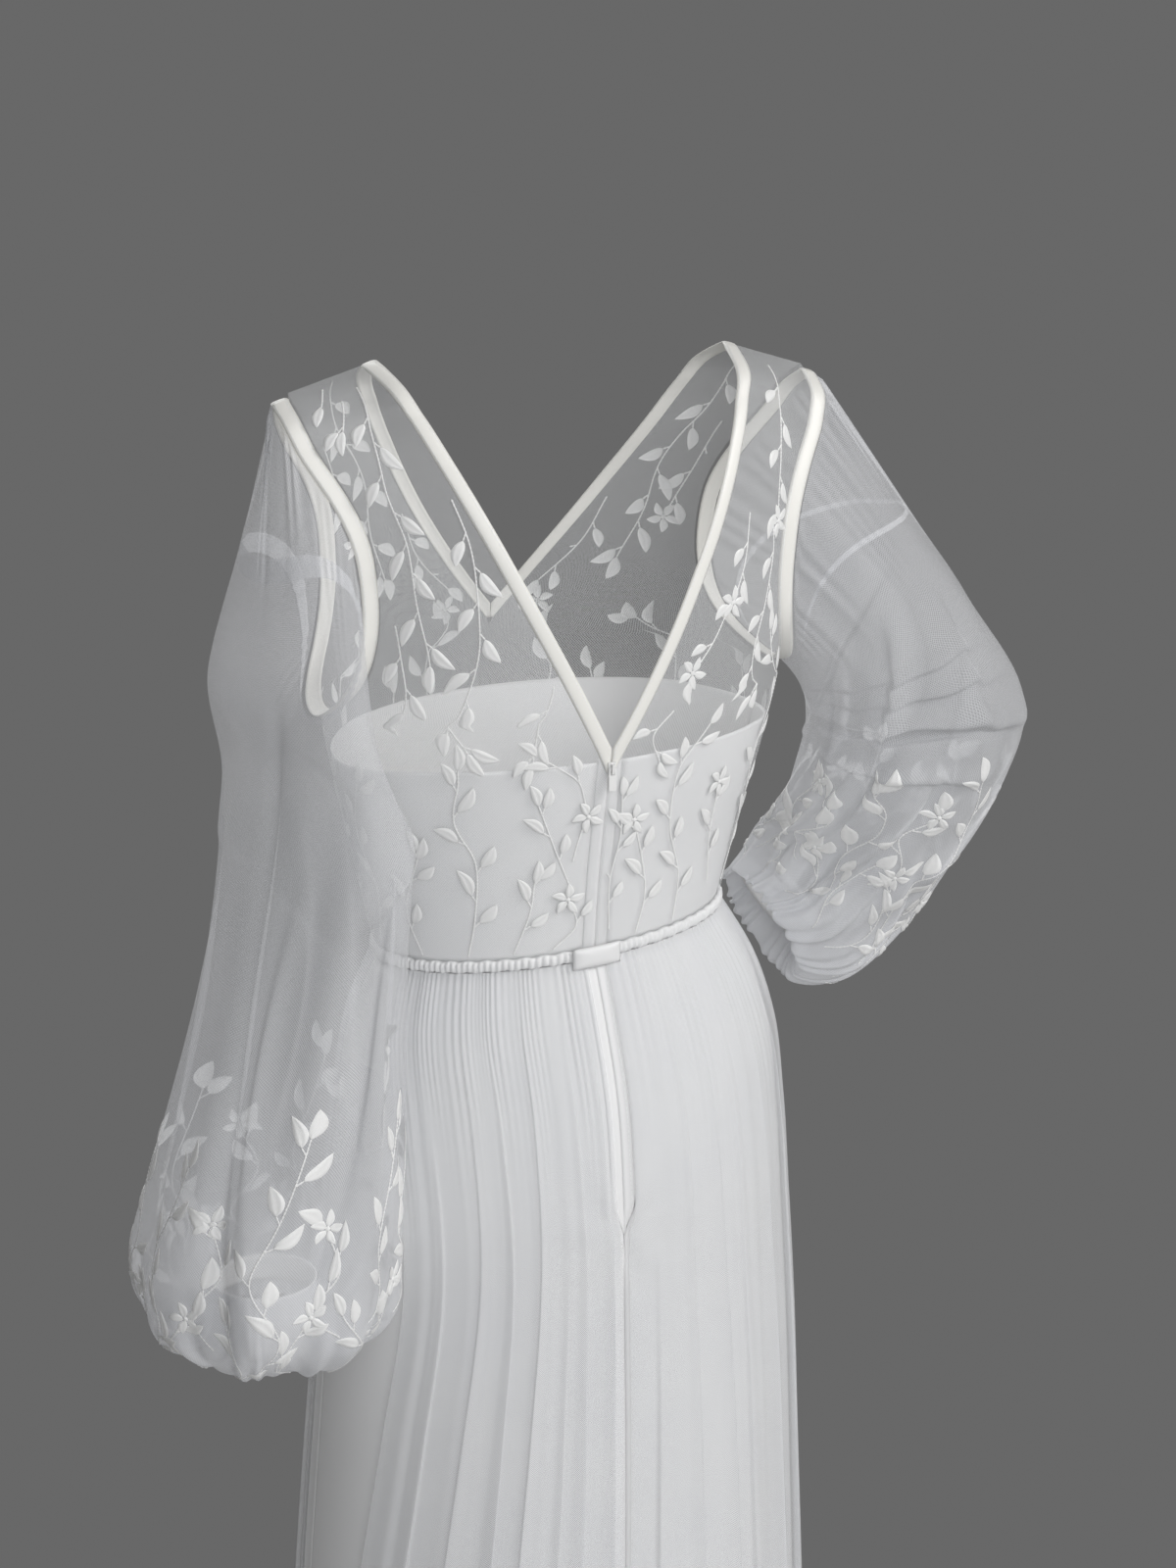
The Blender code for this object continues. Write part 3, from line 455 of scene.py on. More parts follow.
# Weaves. A net is denser where it is drawn in: two distances along it, and the cover that each adds
STITCH_PITCH = 0.0008
STITCH_THREAD_SHARE = 0.8
STITCH_SLANT = 1.1
NET_LEAN = 1.6
THREAD_EDGE = 14.0
SLEEVE_GATHERED = {"left": ((0.34, 0.54), (0.0, 0.32)), "right": ((0.14, 0.38), (0.0, 0.42))}
SKIRT_GATHERED = (0.0, 0.16)
SKIRT_DENSER = (0.10, 0.0)
SATIN_SLANT = 0.6
SATIN_THREAD_SHARE = 0.7
SATIN_PITCH = 0.0006

# Finishes: the sheen of the cloth, the enamel's clear coat, and the soft unevenness in waves to a metre
CLOTH_SHEEN_ROUGHNESS = 0.4
ENAMEL_COAT = 0.4
MOTTLE_DETAIL = 3.0
NET_MOTTLE = 18.0
SATIN_MOTTLE = 9.0
ENAMEL_MOTTLE = 220.0
FLOOR_MOTTLE = 3.0

# Camera, as in the photo: degrees from behind towards the wearer's left, degrees up, and the frame's scale
CAMERA_AZIMUTH = 23
CAMERA_ELEVATION = 16
CAMERA_DISTANCE = 1.9
CAMERA_TARGET = (-0.01952, 0.01074, -0.28787)
METRES_PER_PIXEL = 0.00066
FRAME_PIXELS = 1600
SENSOR = 36.0

# Studio: mid-grey surround, pale floor and soft lights (name, place, size, watts, colour)
STUDIO_GREY = (0.138, 0.138, 0.138)
FLOOR_COLOUR = (0.62, 0.61, 0.59)
FLOOR_DARK = (0.56, 0.55, 0.54)
FLOOR_RADIUS = 0.75
FLOOR_SIDES = 64
FLOOR_GAP = 0.001
LIGHT_TARGET = (0.0, 0.0, -0.45)
LIGHTS = [
    ("key", (-2.0, 2.0, 1.6), 1.2, 56, (1.0, 0.99, 0.98)),
    ("fill", (0.5, 3.2, 0.8), 1.8, 49, (0.97, 0.98, 1.0)),
    ("front", (0.3, -2.4, 0.9), 2.2, 44, (1.0, 1.0, 1.0)),
    ("low", (-0.4, 2.4, -1.0), 1.5, 8, (1.0, 1.0, 1.0)),
]


def curve(near, far, leave, arrive, t):
    """Values on a smooth curve from near to far, with its slopes at both ends."""
    start = near * (1 + 2 * t) * (1 - t) ** 2 + leave * t * (1 - t) ** 2
    end = far * t * t * (3 - 2 * t) + arrive * t * t * (t - 1)
    return start + end


def read(table, column, at):
    """A column's values at places between rows, on a smooth curve through them."""
    keys = np.array(next(iter(table.values())), float)
    values = np.array(table[column], float)
    slopes = np.gradient(values, keys)
    row = np.clip(np.searchsorted(keys, at) - 1, 0, len(keys) - 2)
    span = keys[row + 1] - keys[row]
    t = np.clip((at - keys[row]) / span, 0.0, 1.0)
    return curve(values[row], values[row + 1], slopes[row] * span, slopes[row + 1] * span, t)


def ease(t):
    """A soft step from 0 to 1."""
    t = np.clip(t, 0.0, 1.0)
    return t * t * (3 - 2 * t)


def unit(vectors):
    """The vectors at length 1."""
    return vectors / np.linalg.norm(vectors, axis=-1, keepdims=True)


def stack(x, y, z):
    """Points from their three coordinates."""
    return np.stack(np.broadcast_arrays(x, y, z), axis=-1).astype(float)


def waves(turn, rows, mean=0.0):
    """A mean with waves added, from rows of a wave's height, its count in a round and its start."""
    return sum((height * np.sin(count * turn + start) for height, count, start in rows), mean)


def distances(points):
    """How far along a line each of its points lies."""
    steps = np.linalg.norm(points[1:] - points[:-1], axis=-1)
    return np.concatenate([[0.0], np.cumsum(steps)])


def torso_base(side, face, turn, rise):
    """Points of the figure's surface: turn is 0 at the side and 90 degrees at the centre back or front."""
    x = read(TORSO, "centre_x", rise) + SIDES[side] * read(TORSO, "half_width", rise) * np.cos(turn)
    y = FACES[face] * read(TORSO, face, rise) * np.sin(turn)
    shoulder_z = -SHOULDER_SLOPE * np.maximum(np.abs(x) - NECK_HALF, 0.0)
    return stack(x, y, WAIST_Z + rise * (shoulder_z - WAIST_Z) + WAIST_TILT * x * (1 - rise) ** 2)


def torso(side, face, turn, rise, out):
    """Points at a distance out from the figure's surface, square to it."""
    turn, rise, out = np.broadcast_arrays(turn, rise, out)
    low, high = np.maximum(rise - PROBE, 0.0), np.minimum(rise + PROBE, 1.0)
    along = torso_base(side, face, turn, high) - torso_base(side, face, turn, low)
    across = torso_base(side, face, turn + PROBE, rise) - torso_base(side, face, turn - PROBE, rise)
    normal = np.cross(across, along) * SIDES[side] * FACES[face]
    normal[..., 2] *= ease(rise / LEVEL_RISE)
    normal[rise > 1 - PROBE / 2] = (SIDES[side] * SHOULDER_SLOPE, 0.0, 1.0)
    return torso_base(side, face, turn, rise) + unit(normal) * out[..., None]


def centre_turn(offset, rise):
    """The turn at a distance beside the centre back or front line."""
    return np.arccos(np.clip(offset / read(TORSO, "half_width", rise), -1.0, 1.0))


def neck_offset(face, rise):
    """How far the neck's edge lies from the centre line; below the V's point it carries on straight."""
    share = (rise - NECK_POINT[face]) / (1 - NECK_POINT[face])
    return NECK_HALF * share * (1 + NECK_BOW[face] * (1 - np.maximum(share, 0.0)))


def binding_reach():
    """The neck binding's width, measured level, on the slant of the V."""
    slant = NECK_HALF / ((1 - NECK_POINT["back"]) * -WAIST_Z)
    return BINDING_WIDTH * math.hypot(1, slant)


def armhole_around(rise):
    """How far round the armhole a rise lies: 0 at the shoulder, 180 at the underarm."""
    share = (rise - UNDERARM_RISE) / (1 - UNDERARM_RISE)
    return np.degrees(np.arccos(np.clip(2 * share - 1, -1.0, 1.0)))


def armhole_rise(around):
    """The rise of a place round the armhole: 0 at the shoulder, 180 at the underarm."""
    return UNDERARM_RISE + (1 - UNDERARM_RISE) * (1 + np.cos(np.radians(around))) / 2


def side_turn(face, rise):
    """The turn of a panel's outer edge: the side seam, then the armhole."""
    armhole = np.radians(read(ARMHOLE, face, armhole_around(rise)))
    return np.where(rise <= UNDERARM_RISE, SEAM_TURN, np.maximum(armhole, SEAM_TURN))


def armhole_loop(side, around):
    """Points of the armhole's edge: 0 at the shoulder, 90 behind, 180 at the underarm, 270 in front."""
    behind = around <= 180
    fold = np.where(behind, around, 360 - around)
    rise, out = armhole_rise(fold), NET_OUT + CLOTH / 2
    points = {face: torso(side, face, np.radians(read(ARMHOLE, face, fold)), rise, out) for face in FACES}
    return np.where(behind[..., None], points["back"], points["front"])


def armhole_strip(side, around, reach):
    """Points of the band that leaves the armhole outwards, at a distance along it."""
    around = np.asarray(around, float) % 360
    ahead = armhole_loop(side, (around + ARMHOLE_PROBE) % 360)
    along = ahead - armhole_loop(side, (around - ARMHOLE_PROBE) % 360)
    inward = unit(stack(0.0, along[..., 2], -along[..., 1]))
    outwards = unit(np.array([SIDES[side], 0.0, -ARMHOLE_LEAN]))
    return armhole_loop(side, around) + inward * ARMHOLE_INSET + outwards * np.asarray(reach)[..., None]


def underarm_nearness(around):
    """0 at the top of the arm and 1 at the underarm."""
    return (1 - np.cos(np.radians(around))) / 2


def sleeve_ring(side, station, around):
    """Points of one of the sleeve's rings: station 0 is the armhole, the last is the cuff's seam."""
    if station == 0:
        gap = SLEEVE_START_GAP + UNDERARM_START_GAP * underarm_nearness(around)
        return armhole_strip(side, around, ARMHOLE_BINDING_WIDTH + gap)
    row = {column: values[station - 1] for column, values in RINGS[side].items()}
    outer = np.array([row["outer_x"], row["centre_y"], row["outer_z"]])
    inner = np.array([row["inner_x"], row["centre_y"], row["inner_z"]])
    turn = np.radians(around)[..., None]
    swell = 1 + row["ripple"] * np.cos(SLEEVE_LOBES * turn + LOBE_DRIFT * station)
    behind = np.array([row["back_shift"], row["half_depth"], 0.0])
    return (outer + inner) / 2 + swell * ((outer - inner) / 2 * np.cos(turn) + behind * np.sin(turn))


def sleeve_smooth(side, place, around):
    """Points of the sleeve's cloth, without its creases, on smooth lines down through its rings."""
    place, around = np.broadcast_arrays(np.asarray(place, float), np.asarray(around, float))
    rings = np.stack([sleeve_ring(side, station, around) for station in range(SLEEVE_LAST + 1)])
    station = np.clip(np.floor(place).astype(int), 0, SLEEVE_LAST - 1)

    def ring(number):
        chosen = np.clip(number, 0, SLEEVE_LAST)[None, ..., None]
        return np.take_along_axis(rings, np.broadcast_to(chosen, (1, *rings.shape[1:])), axis=0)[0]

    t = (place - station)[..., None]
    near, far = ring(station), ring(station + 1)
    return curve(near, far, (far - ring(station - 1)) / 2, (ring(station + 2) - near) / 2, t)


def creased(creases, along, across, turn=0.0):
    """How far the listed creases lift the cloth and lean it across; a turn above 0 closes its round."""
    lift = lean = np.zeros(np.broadcast(along, across).shape)
    for start, end, first, last, width, depth, over in creases:
        share = np.clip((along - first) / (last - first), 0.0, 1.0)
        aside = across - (start + (end - start) * ease(share))
        if turn:
            aside = (aside + turn / 2) % turn - turn / 2
        bell = np.sin(np.pi * share) ** SLEEVE_CREASE_END * np.exp(-((aside / width) ** 2))
        lift = lift + depth * bell
        lean = lean + over * width * bell
    return lift, lean


def gather_wave(around, count):
    """Uneven gathers round a sleeve, from -1 to 1."""
    turn = np.radians(around)
    wander = GATHER_WANDER * waves(turn, GATHER_WANDER_WAVES)
    return np.cos(count * (turn + wander)) * waves(turn, GATHER_HEIGHT_WAVES, GATHER_HEIGHT_MEAN)


def gather_height(side, place, around):
    """The small gathers where the sleeve is drawn in to the armhole and to the cuff."""
    flatter = 1 - CUFF_FLATTER * ease((place - CUFF_FLAT_FROM) / CUFF_FLAT_OVER)
    cuff = ease((place - CUFF_GATHER_FROM) / CUFF_GATHER_OVER) * flatter
    uneven = waves(np.radians(around), GATHER_REACH_WAVES, GATHER_REACH_MEAN)
    reach = ARMHOLE_GATHER_REACH[side] * uneven
    armhole = (1 - ease(place / reach)) * (1 - underarm_nearness(around)) ** 0.5
    height = ARMHOLE_GATHER_DEPTH * armhole * gather_wave(around, ARMHOLE_GATHERS)
    return height + CUFF_GATHER_DEPTH * cuff * gather_wave(around, CUFF_GATHERS)


def sleeve(side, place, around, out=0.0):
    """Points of the sleeve's cloth with its creases and gathers."""
    place, around = np.broadcast_arrays(np.asarray(place, float), np.asarray(around, float))
    lift, lean = creased(SLEEVE_CREASES[side], place, around, 360)
    draped, pulled = creased(SLEEVE_DRAPES[side], around, place)
    near_ends = ease((place - STATION_PROBE) / CREASE_START) * ease((SLEEVE_LAST - place) / CREASE_STOP)
    lean = lean * near_ends * (1 - SLACK_FADE * ease((place - SLACK_FROM) / SLACK_OVER))
    points = sleeve_smooth(side, np.clip(place + pulled * near_ends, 0, SLEEVE_LAST), around + lean)
    low, high = np.maximum(place - STATION_PROBE, 0.0), np.minimum(place + STATION_PROBE, SLEEVE_LAST)
    along = sleeve_smooth(side, high, around) - sleeve_smooth(side, low, around)
    before, after = around - AROUND_PROBE, around + AROUND_PROBE
    across = sleeve_smooth(side, place, after) - sleeve_smooth(side, place, before)
    normal = unit(np.cross(along, across)) * SIDES[side]
    lift = (lift + draped + gather_height(side, place, around)) * near_ends
    return points + normal * (lift + out)[..., None]


def cap_seam(side, around):
    """Where the level seam below the sleeve's cap lies along the sleeve."""
    nearness = 1 - underarm_nearness(around)
    return CAP_SEAM_LEAST + CAP_SEAM_REACH[side] * nearness ** CAP_SEAM_FALL[side]


def skirt(angle, drop, out):
    """Points outside the skirt's satin layer: angle is 0 at the wearer's left side, 90 degrees behind."""
    across, deep = np.cos(angle), np.sin(angle)
    half_width = read(SKIRT, "half_width", drop) + out
    depth = np.where(deep >= 0, read(SKIRT, "back", drop), read(SKIRT, "front", drop)) + out
    x = read(SKIRT, "centre_x", drop) + half_width * across
    top = WAIST_Z - WAIST_TAPE_HEIGHT - SEAM_GAP - SKIRT_TOP_GAP
    return stack(x, depth * deep, top - drop + WAIST_TILT * x * (1 - ease(drop / SKIRT_LENGTH)))


def zip_edge(offset, drop):
    """The angle beside the centre back that lies at a distance from it."""
    return offset / read(SKIRT, "half_width", drop)


def lining_zip_offset(drop):
    """Half the opening of the skirt's satin layer at the centre back."""
    full = ZIP_HALF_GAP + ZIP_TAPE_WIDTH + SEAM_GAP
    return full + (SEAM_GAP / 2 - full) * ease((drop - ZIP_DROP - SEAM_GAP) / ZIP_CLOSING)


def overlay_zip_offset(drop):
    """Half the opening of the skirt's net layer at the centre back."""
    return OVERLAY_BESIDE_ZIP + (SEAM_GAP / 2 - OVERLAY_BESIDE_ZIP) * ease((drop - ZIP_DROP) / ZIP_CLOSING)


def opening_turn(face, drop):
    """How far the net layer's edge lies from the left side."""
    return np.radians(read(NET_OPENING, face, drop))


def closed_steps(values, closed):
    """Differences along the last but one axis, round the seam as well on a closed piece."""
    after = np.roll(values, -1, axis=-2) if closed else values[..., 1:, :]
    return after - (values if closed else values[..., :-1, :])


def outward_normals(points, closed):
    """Normals of a grid of cloth points, facing away from the body or the arm inside."""
    if closed:
        wrapped = np.concatenate([points[:, -1:], points, points[:, :1]], axis=1)
        across = (wrapped[:, 2:] - wrapped[:, :-2]) / 2
        inside = points.mean(axis=1, keepdims=True)
    else:
        across = np.gradient(points, axis=1)
        inside = points * (0, 0, 1)
    normals = np.cross(across, np.gradient(points, axis=0))
    facing = (normals * (points - inside)).sum()
    return unit(normals + NO_LENGTH) * np.sign(facing), facing > 0


def cloth_weave(points, closed):
    """Distances across and down a grid of cloth points, for the scale of its weave."""
    across = np.linalg.norm(closed_steps(points, closed), axis=-1).mean(axis=0)
    along = np.linalg.norm(points[1:] - points[:-1], axis=-1).mean(axis=1)
    far = [np.concatenate([[0.0], np.cumsum(steps)]) for steps in (across, along)]
    return np.stack(np.meshgrid(*far), axis=-1)


def grid_faces(lie, columns, start, flip=False):
    """The faces of a grid of points, and the lie of the thread at each of their corners."""
    row, column = np.meshgrid(np.arange(lie.shape[0] - 1), np.arange(lie.shape[1] - 1), indexing="ij")
    corners = [(row, column), (row, column + 1), (row + 1, column + 1), (row + 1, column)]
    if flip:
        corners = corners[::-1]
    faces = np.stack([start + r * columns + c % columns for r, c in corners], axis=-1)
    return faces.reshape(-1, 4), np.stack([lie[r, c] for r, c in corners], axis=2).reshape(-1)


def woven_mesh(name, grids, lies, flips):
    """A mesh through grids of points, with the lie of their thread in metres in its UV map."""
    faces, weaves, start = [], [], 0
    for points, lie, flip in zip(grids, lies, flips):
        grid, weave = grid_faces(lie, points.shape[1], start, flip)
        faces.append(grid)
        weaves.append(weave)
        start += points.shape[0] * points.shape[1]
    points = np.concatenate([grid.reshape(-1, 3) for grid in grids])
    mesh = bpy.data.meshes.new(name)
    mesh.from_pydata(points.tolist(), [], np.concatenate(faces).tolist())
    mesh.uv_layers.new(name="weave").data.foreach_set("uv", np.concatenate(weaves))
    mesh.shade_smooth()
    return mesh


def cloth_mesh(name, grids, closed):
    """A mesh through grids of cloth points that meet at their edges."""
    lies = [cloth_weave(points, closed) for points in grids]
    mesh = woven_mesh(name, grids, lies, [not outward_normals(points, closed)[1] for points in grids])
    if len(grids) > 1:
        weld(mesh)
    return mesh


def weld(mesh):
    """Join the points that grids share along their common edge."""
    shape = bmesh.new()
    shape.from_mesh(mesh)
    bmesh.ops.remove_doubles(shape, verts=shape.verts[:], dist=WELD_DISTANCE)
    shape.to_mesh(mesh)
    shape.free()


def add_piece(name, mesh, finish, nodes=(), body="dress"):
    """Put a mesh in the scene as a piece that rides on a body and stands for CAD nodes."""
    piece = bpy.data.objects.new(name, mesh)
    bpy.context.scene.collection.objects.link(piece)
    mesh.materials.append(finish)
    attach(piece, body)
    if nodes:
        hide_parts(*nodes)
    return piece


def add_cloth(node, grids, finish, closed=False, thickness=0.0, with_pieces=()):
    """A panel of cloth that stands for its CAD node. Gives back a chart of each grid, for what lies on it:
    its points and normals, and those of its form without creases."""
    piece = add_piece(f"{node}_cloth", cloth_mesh(f"{node}_cloth", grids, closed), finish, (node,))
    if thickness:
        wall = piece.modifiers.new("cloth thickness", "SOLIDIFY")
        wall.thickness = thickness
        wall.offset = 0.0
    charts = []
    for points in grids:
        normals = outward_normals(points, closed)[0]
        chart = {"points": points, "normals": normals, "smooth": points, "facing": normals, "closed": closed}
        charts.append(chart)
    return charts


def bodice_half(side, face, rises, inner, out):
    """Points of one half of a bodice panel, from its inner edge to its outer edge."""
    rise = rises[:, None]
    start, end = centre_turn(inner(rise), rise), side_turn(face, rise)
    share = np.linspace(0, 1, BODICE_COLUMNS)[None, :]
    return torso(side, face, start + (end - start) * share, rise, out)


def beside_neck(face, least):
    """The inner edge of a net panel: beside the centre line, then beside the neck binding."""
    return lambda rise: np.maximum(neck_offset(face, rise) + binding_reach() + SEAM_GAP, least)


def make_bodice():
    """The net backs and front, and the satin layer under them. Gives back the charts of the net."""
    charts = {}
    net_rises = np.linspace(0, 1, BODICE_ROWS)
    lining_rises = np.linspace(0, LINING_TOP_RISE, BODICE_ROWS // 2)
    out = NET_OUT + CLOTH / 2
    tape_edge = ZIP_HALF_GAP + ZIP_TAPE_WIDTH + SEAM_GAP
    for side in SIDES:
        net = bodice_half(side, "back", net_rises, beside_neck("back", NET_BESIDE_ZIP), out)
        lining = bodice_half(side, "back", lining_rises, lambda rise: tape_edge, CLOTH / 2)
        lining_node = f"lining_back_{side}"
        charts[f"back_{side}"] = add_cloth(
            f"bodice_back_{side}", [net], BODICE_NET
        )[0]
        add_cloth(lining_node, [lining], SATIN, thickness=CLOTH)
    net = [bodice_half(side, "front", net_rises, beside_neck("front", 0.0), out) for side in SIDES]
    lining = [bodice_half(side, "front", lining_rises, lambda rise: 0.0 * rise, CLOTH / 2) for side in SIDES]
    fronts = add_cloth("bodice_front", net, BODICE_NET)
    charts.update(zip(("front_left", "front_right"), fronts))
    add_cloth("lining_front", lining, SATIN, thickness=CLOTH)
    return charts


def crowned(share, height):
    """How far a binding stands proud across its width, from 0 at one edge to 1 at the other."""
    return height * np.sqrt(np.maximum(1 - (2 * share - 1) ** 2, 0.0))


def neck_binding_rows(side, face, rises):
    """Rows across the neck binding, each from its inner to its outer edge."""
    rise = rises[:, None]
    share = np.linspace(0, 1, BINDING_COLUMNS)[None, :]
    near = np.maximum(neck_offset(face, rise), ZIP_HALF_GAP)
    far = np.maximum(neck_offset(face, rise) + binding_reach(), near + ZIP_HALF_GAP)
    out = NET_OUT + crowned(share, BINDING_CROWN)
    return torso(side, face, centre_turn(near + (far - near) * share, rise), rise, out)


def mitre_rise(face, offset):
    """The rise below the V's point at which the neck binding's outer edge is at an offset from the centre."""
    slope = NECK_HALF * (1 + NECK_BOW[face]) / (1 - NECK_POINT[face])
    return NECK_POINT[face] - (binding_reach() - offset) / slope


def make_bindings():
    """The satin strips round the neck and the armholes. Gives back the lines of their stitches."""
    lines = []
    around = np.arange(0, 360, 360 / BINDING_ROWS)[None, :]
    share = np.linspace(0, 1, BINDING_COLUMNS)[:, None]
    for side in SIDES:
        low = {face: mitre_rise(face, 2 * NET_BESIDE_ZIP) for face in FACES}
        back = neck_binding_rows(side, "back", np.linspace(low["back"], 1, BINDING_ROWS))
        front = neck_binding_rows(side, "front", np.linspace(1, low["front"], BINDING_ROWS))
        strip = np.concatenate([back, front[1:]])
        node = f"neck_binding_{side}"
        chart = add_cloth(node, [strip], BINDING, False, CLOTH)[0]
        lines += [(strip[:, column], chart["normals"][:, column]) for column in (1, -2)]
        reach = np.broadcast_to(ARMHOLE_BINDING_WIDTH * share, (BINDING_COLUMNS, BINDING_ROWS))
        band = armhole_strip(side, np.broadcast_to(around, reach.shape), reach)
        band = band + outward_normals(band, True)[0] * crowned(share, BINDING_CROWN)[..., None]
        node = f"armhole_binding_{side}"
        chart = add_cloth(node, [band], BINDING, True, CLOTH)[0]
        lines += [(band[row], chart["normals"][row]) for row in (1, -2)]
    return lines


def make_sleeves():
    """The net caps, the full lower sleeves, the doubled net at the seam between them, and the cuffs."""
    charts = {}
    around = np.arange(0, 360, 360 / SLEEVE_COLUMNS)[None, :]
    for side in SIDES:
        seam = cap_seam(side, around)
        share = np.linspace(0, 1, CAP_ROWS)[:, None]
        cap = sleeve(side, seam * share, around)
        net, armhole = SLEEVE_NET[side], f"armhole_binding_{side}"
        add_cloth(f"sleeve_cap_{side}", [cap], net, closed=True)
        share = np.linspace(0, 1, SLEEVE_ROWS)[:, None]
        lower = sleeve(side, seam + (SLEEVE_LAST - seam) * share, around)
        node = f"sleeve_{side}"
        charts[node] = add_cloth(
            node, [lower], net, closed=True,
            with_pieces=make_seam_strips(side, around, seam),
        )[0]
        # Sprigs take their directions from the form without creases
        smooth = sleeve_smooth(side, seam + (SLEEVE_LAST - seam) * share, around)
        charts[node]["smooth"], charts[node]["facing"] = smooth, outward_normals(smooth, True)[0]
        make_cuff(side)
    return charts


def make_seam_strips(side, around, seam):
    """The turnings of the seam below the cap, which show as a narrow strip of doubled net."""
    share = np.linspace(-1, 1, SEAM_STRIP_ROWS)[:, None]
    strips = []
    for layer in range(SEAM_STRIP_LAYERS):
        strip = sleeve(side, seam + SEAM_STRIP_HALF[side] * share, around, -SEAM_STRIP_STEP * (layer + 1))
        name = f"sleeve_{side}_seam_{layer + 1}"
        strips.append(add_piece(name, cloth_mesh(name, [strip], True), SLEEVE_NET[side]))
    return strips


def make_cuff(side):
    """The plain satin cuff inside the turned-under net."""
    around = np.arange(0, 360, 360 / BINDING_ROWS)
    ring = sleeve_ring(side, SLEEVE_LAST, around)
    middle = ring.mean(axis=0)
    axis = unit(np.cross(ring[0] - middle, ring[len(ring) // 4] - middle)) * -SIDES[side]
    reach = SEAM_GAP + CUFF_HEIGHT * np.linspace(0, 1, BINDING_COLUMNS)[:, None, None]
    rows = middle + unit(ring - middle) * (CUFF_RADIUS + CLOTH / 2) + axis * reach
    add_cloth(f"cuff_{side}", [rows], SATIN, True, CLOTH)


def gather(turn):
    """Shift the even folds a little, so that they lie unevenly, without moving the seams."""
    return waves(turn, UNEVEN_FOLDS, turn)


def net_creases(turn, drop):
    """How far the listed creases of the skirt's net lift it, and how far they lean it aside."""
    lift = lean = np.zeros(np.broadcast(turn, drop).shape)
    for start, end, first, last, width, height, over in NET_CREASES:
        share = np.clip((drop - first) / (last - first), 0.0, 1.0)
        half_width = np.radians(width) * (0.5 + share)
        aside = turn - np.radians(start + (end - start) * share)
        bell = np.sin(np.pi * share) ** NET_CREASE_END * np.exp(-((aside / half_width) ** 2))
        lift = lift + height * bell
        lean = lean + over * half_width * bell
    return lift, lean


def overlay_depth(turn, drop):
    """How far the skirt's net stands out: soft uneven folds, and fine gathers at the waist."""
    uneven = np.clip(waves(turn, FOLD_WAVES, FOLD_MEAN), FOLD_LEAST, 1.0)
    shifts = [(height, count, start + drift * drop) for height, count, start, drift in FOLD_SHIFTS]
    shifted = waves(turn, shifts, turn)
    wave = (1 + np.cos(SKIRT_FOLDS * shifted)) / 2
    fine = (1 + np.cos(waves(turn, WAIST_GATHER_SHIFTS, WAIST_GATHERS * turn))) / 2
    fine = fine * waves(turn, WAIST_GATHER_WAVES, WAIST_GATHER_MEAN)
    at_waist = 1 - ease(drop / (WAIST_GATHER_DROP * waves(turn, WAIST_GATHER_ENDS, 1)))
    folds = read(SKIRT, "fold_depth", drop) * (FOLD_REST + FOLD_SHARE * wave * uneven)
    return folds + WAIST_GATHER_DEPTH * fine * at_waist


def beside_zip(angle, drop):
    """How far the net's edges at the zip draw in where its opening closes, fading away from the zip."""
    closed = zip_edge(OVERLAY_BESIDE_ZIP - overlay_zip_offset(drop), drop)
    aside = angle - math.pi / 2
    return -np.sign(aside) * closed * np.exp(-np.abs(aside) / ZIP_DRAW)


def zip_puckers(angle, drop):
    """The small puckers that radiate from the zip's end."""
    aside = (angle - math.pi / 2) * SKIRT["half_width"][3]
    below = drop - (ZIP_DROP + ZIP_CLOSING)
    turn = np.arctan2(aside, below + PUCKER_MIDDLE)
    near = np.exp(-(aside ** 2 + below ** 2) / PUCKER_SPREAD ** 2)
    near = near * ease(np.hypot(aside, below) / PUCKER_START)
    return PUCKER_HEIGHT * near * np.cos(PUCKERS * turn + PUCKER_PHASE)


def overlay(first, last, low, high):
    """Points of gathered net over a range of turns, stretched between the angles of its two edges."""
    rows = np.linspace(0, 1, SKIRT_ROWS)[:, None] ** ROWS_NEAR_WAIST
    drop = rows * (SKIRT_LENGTH + SKIRT_TOP_GAP) - SKIRT_TOP_GAP
    columns = round((last - first) / (2 * math.pi) * SKIRT_FOLDS * SKIRT_FOLD_COLUMNS)
    turn = np.linspace(first, last, columns + 1)[None, :]
    lift, lean = net_creases(turn, drop)
    share = (gather(turn) - first) / (last - first)
    lean = lean * ease(share / EDGE_SHARE) * ease((1 - share) / EDGE_SHARE)
    angle = low(drop) + (high(drop) - low(drop)) * share + lean
    out = NET_OUT + CLOTH / 2 + overlay_depth(turn, drop) + lift + zip_puckers(angle, drop)
    return skirt(angle + beside_zip(angle, drop), drop, out)


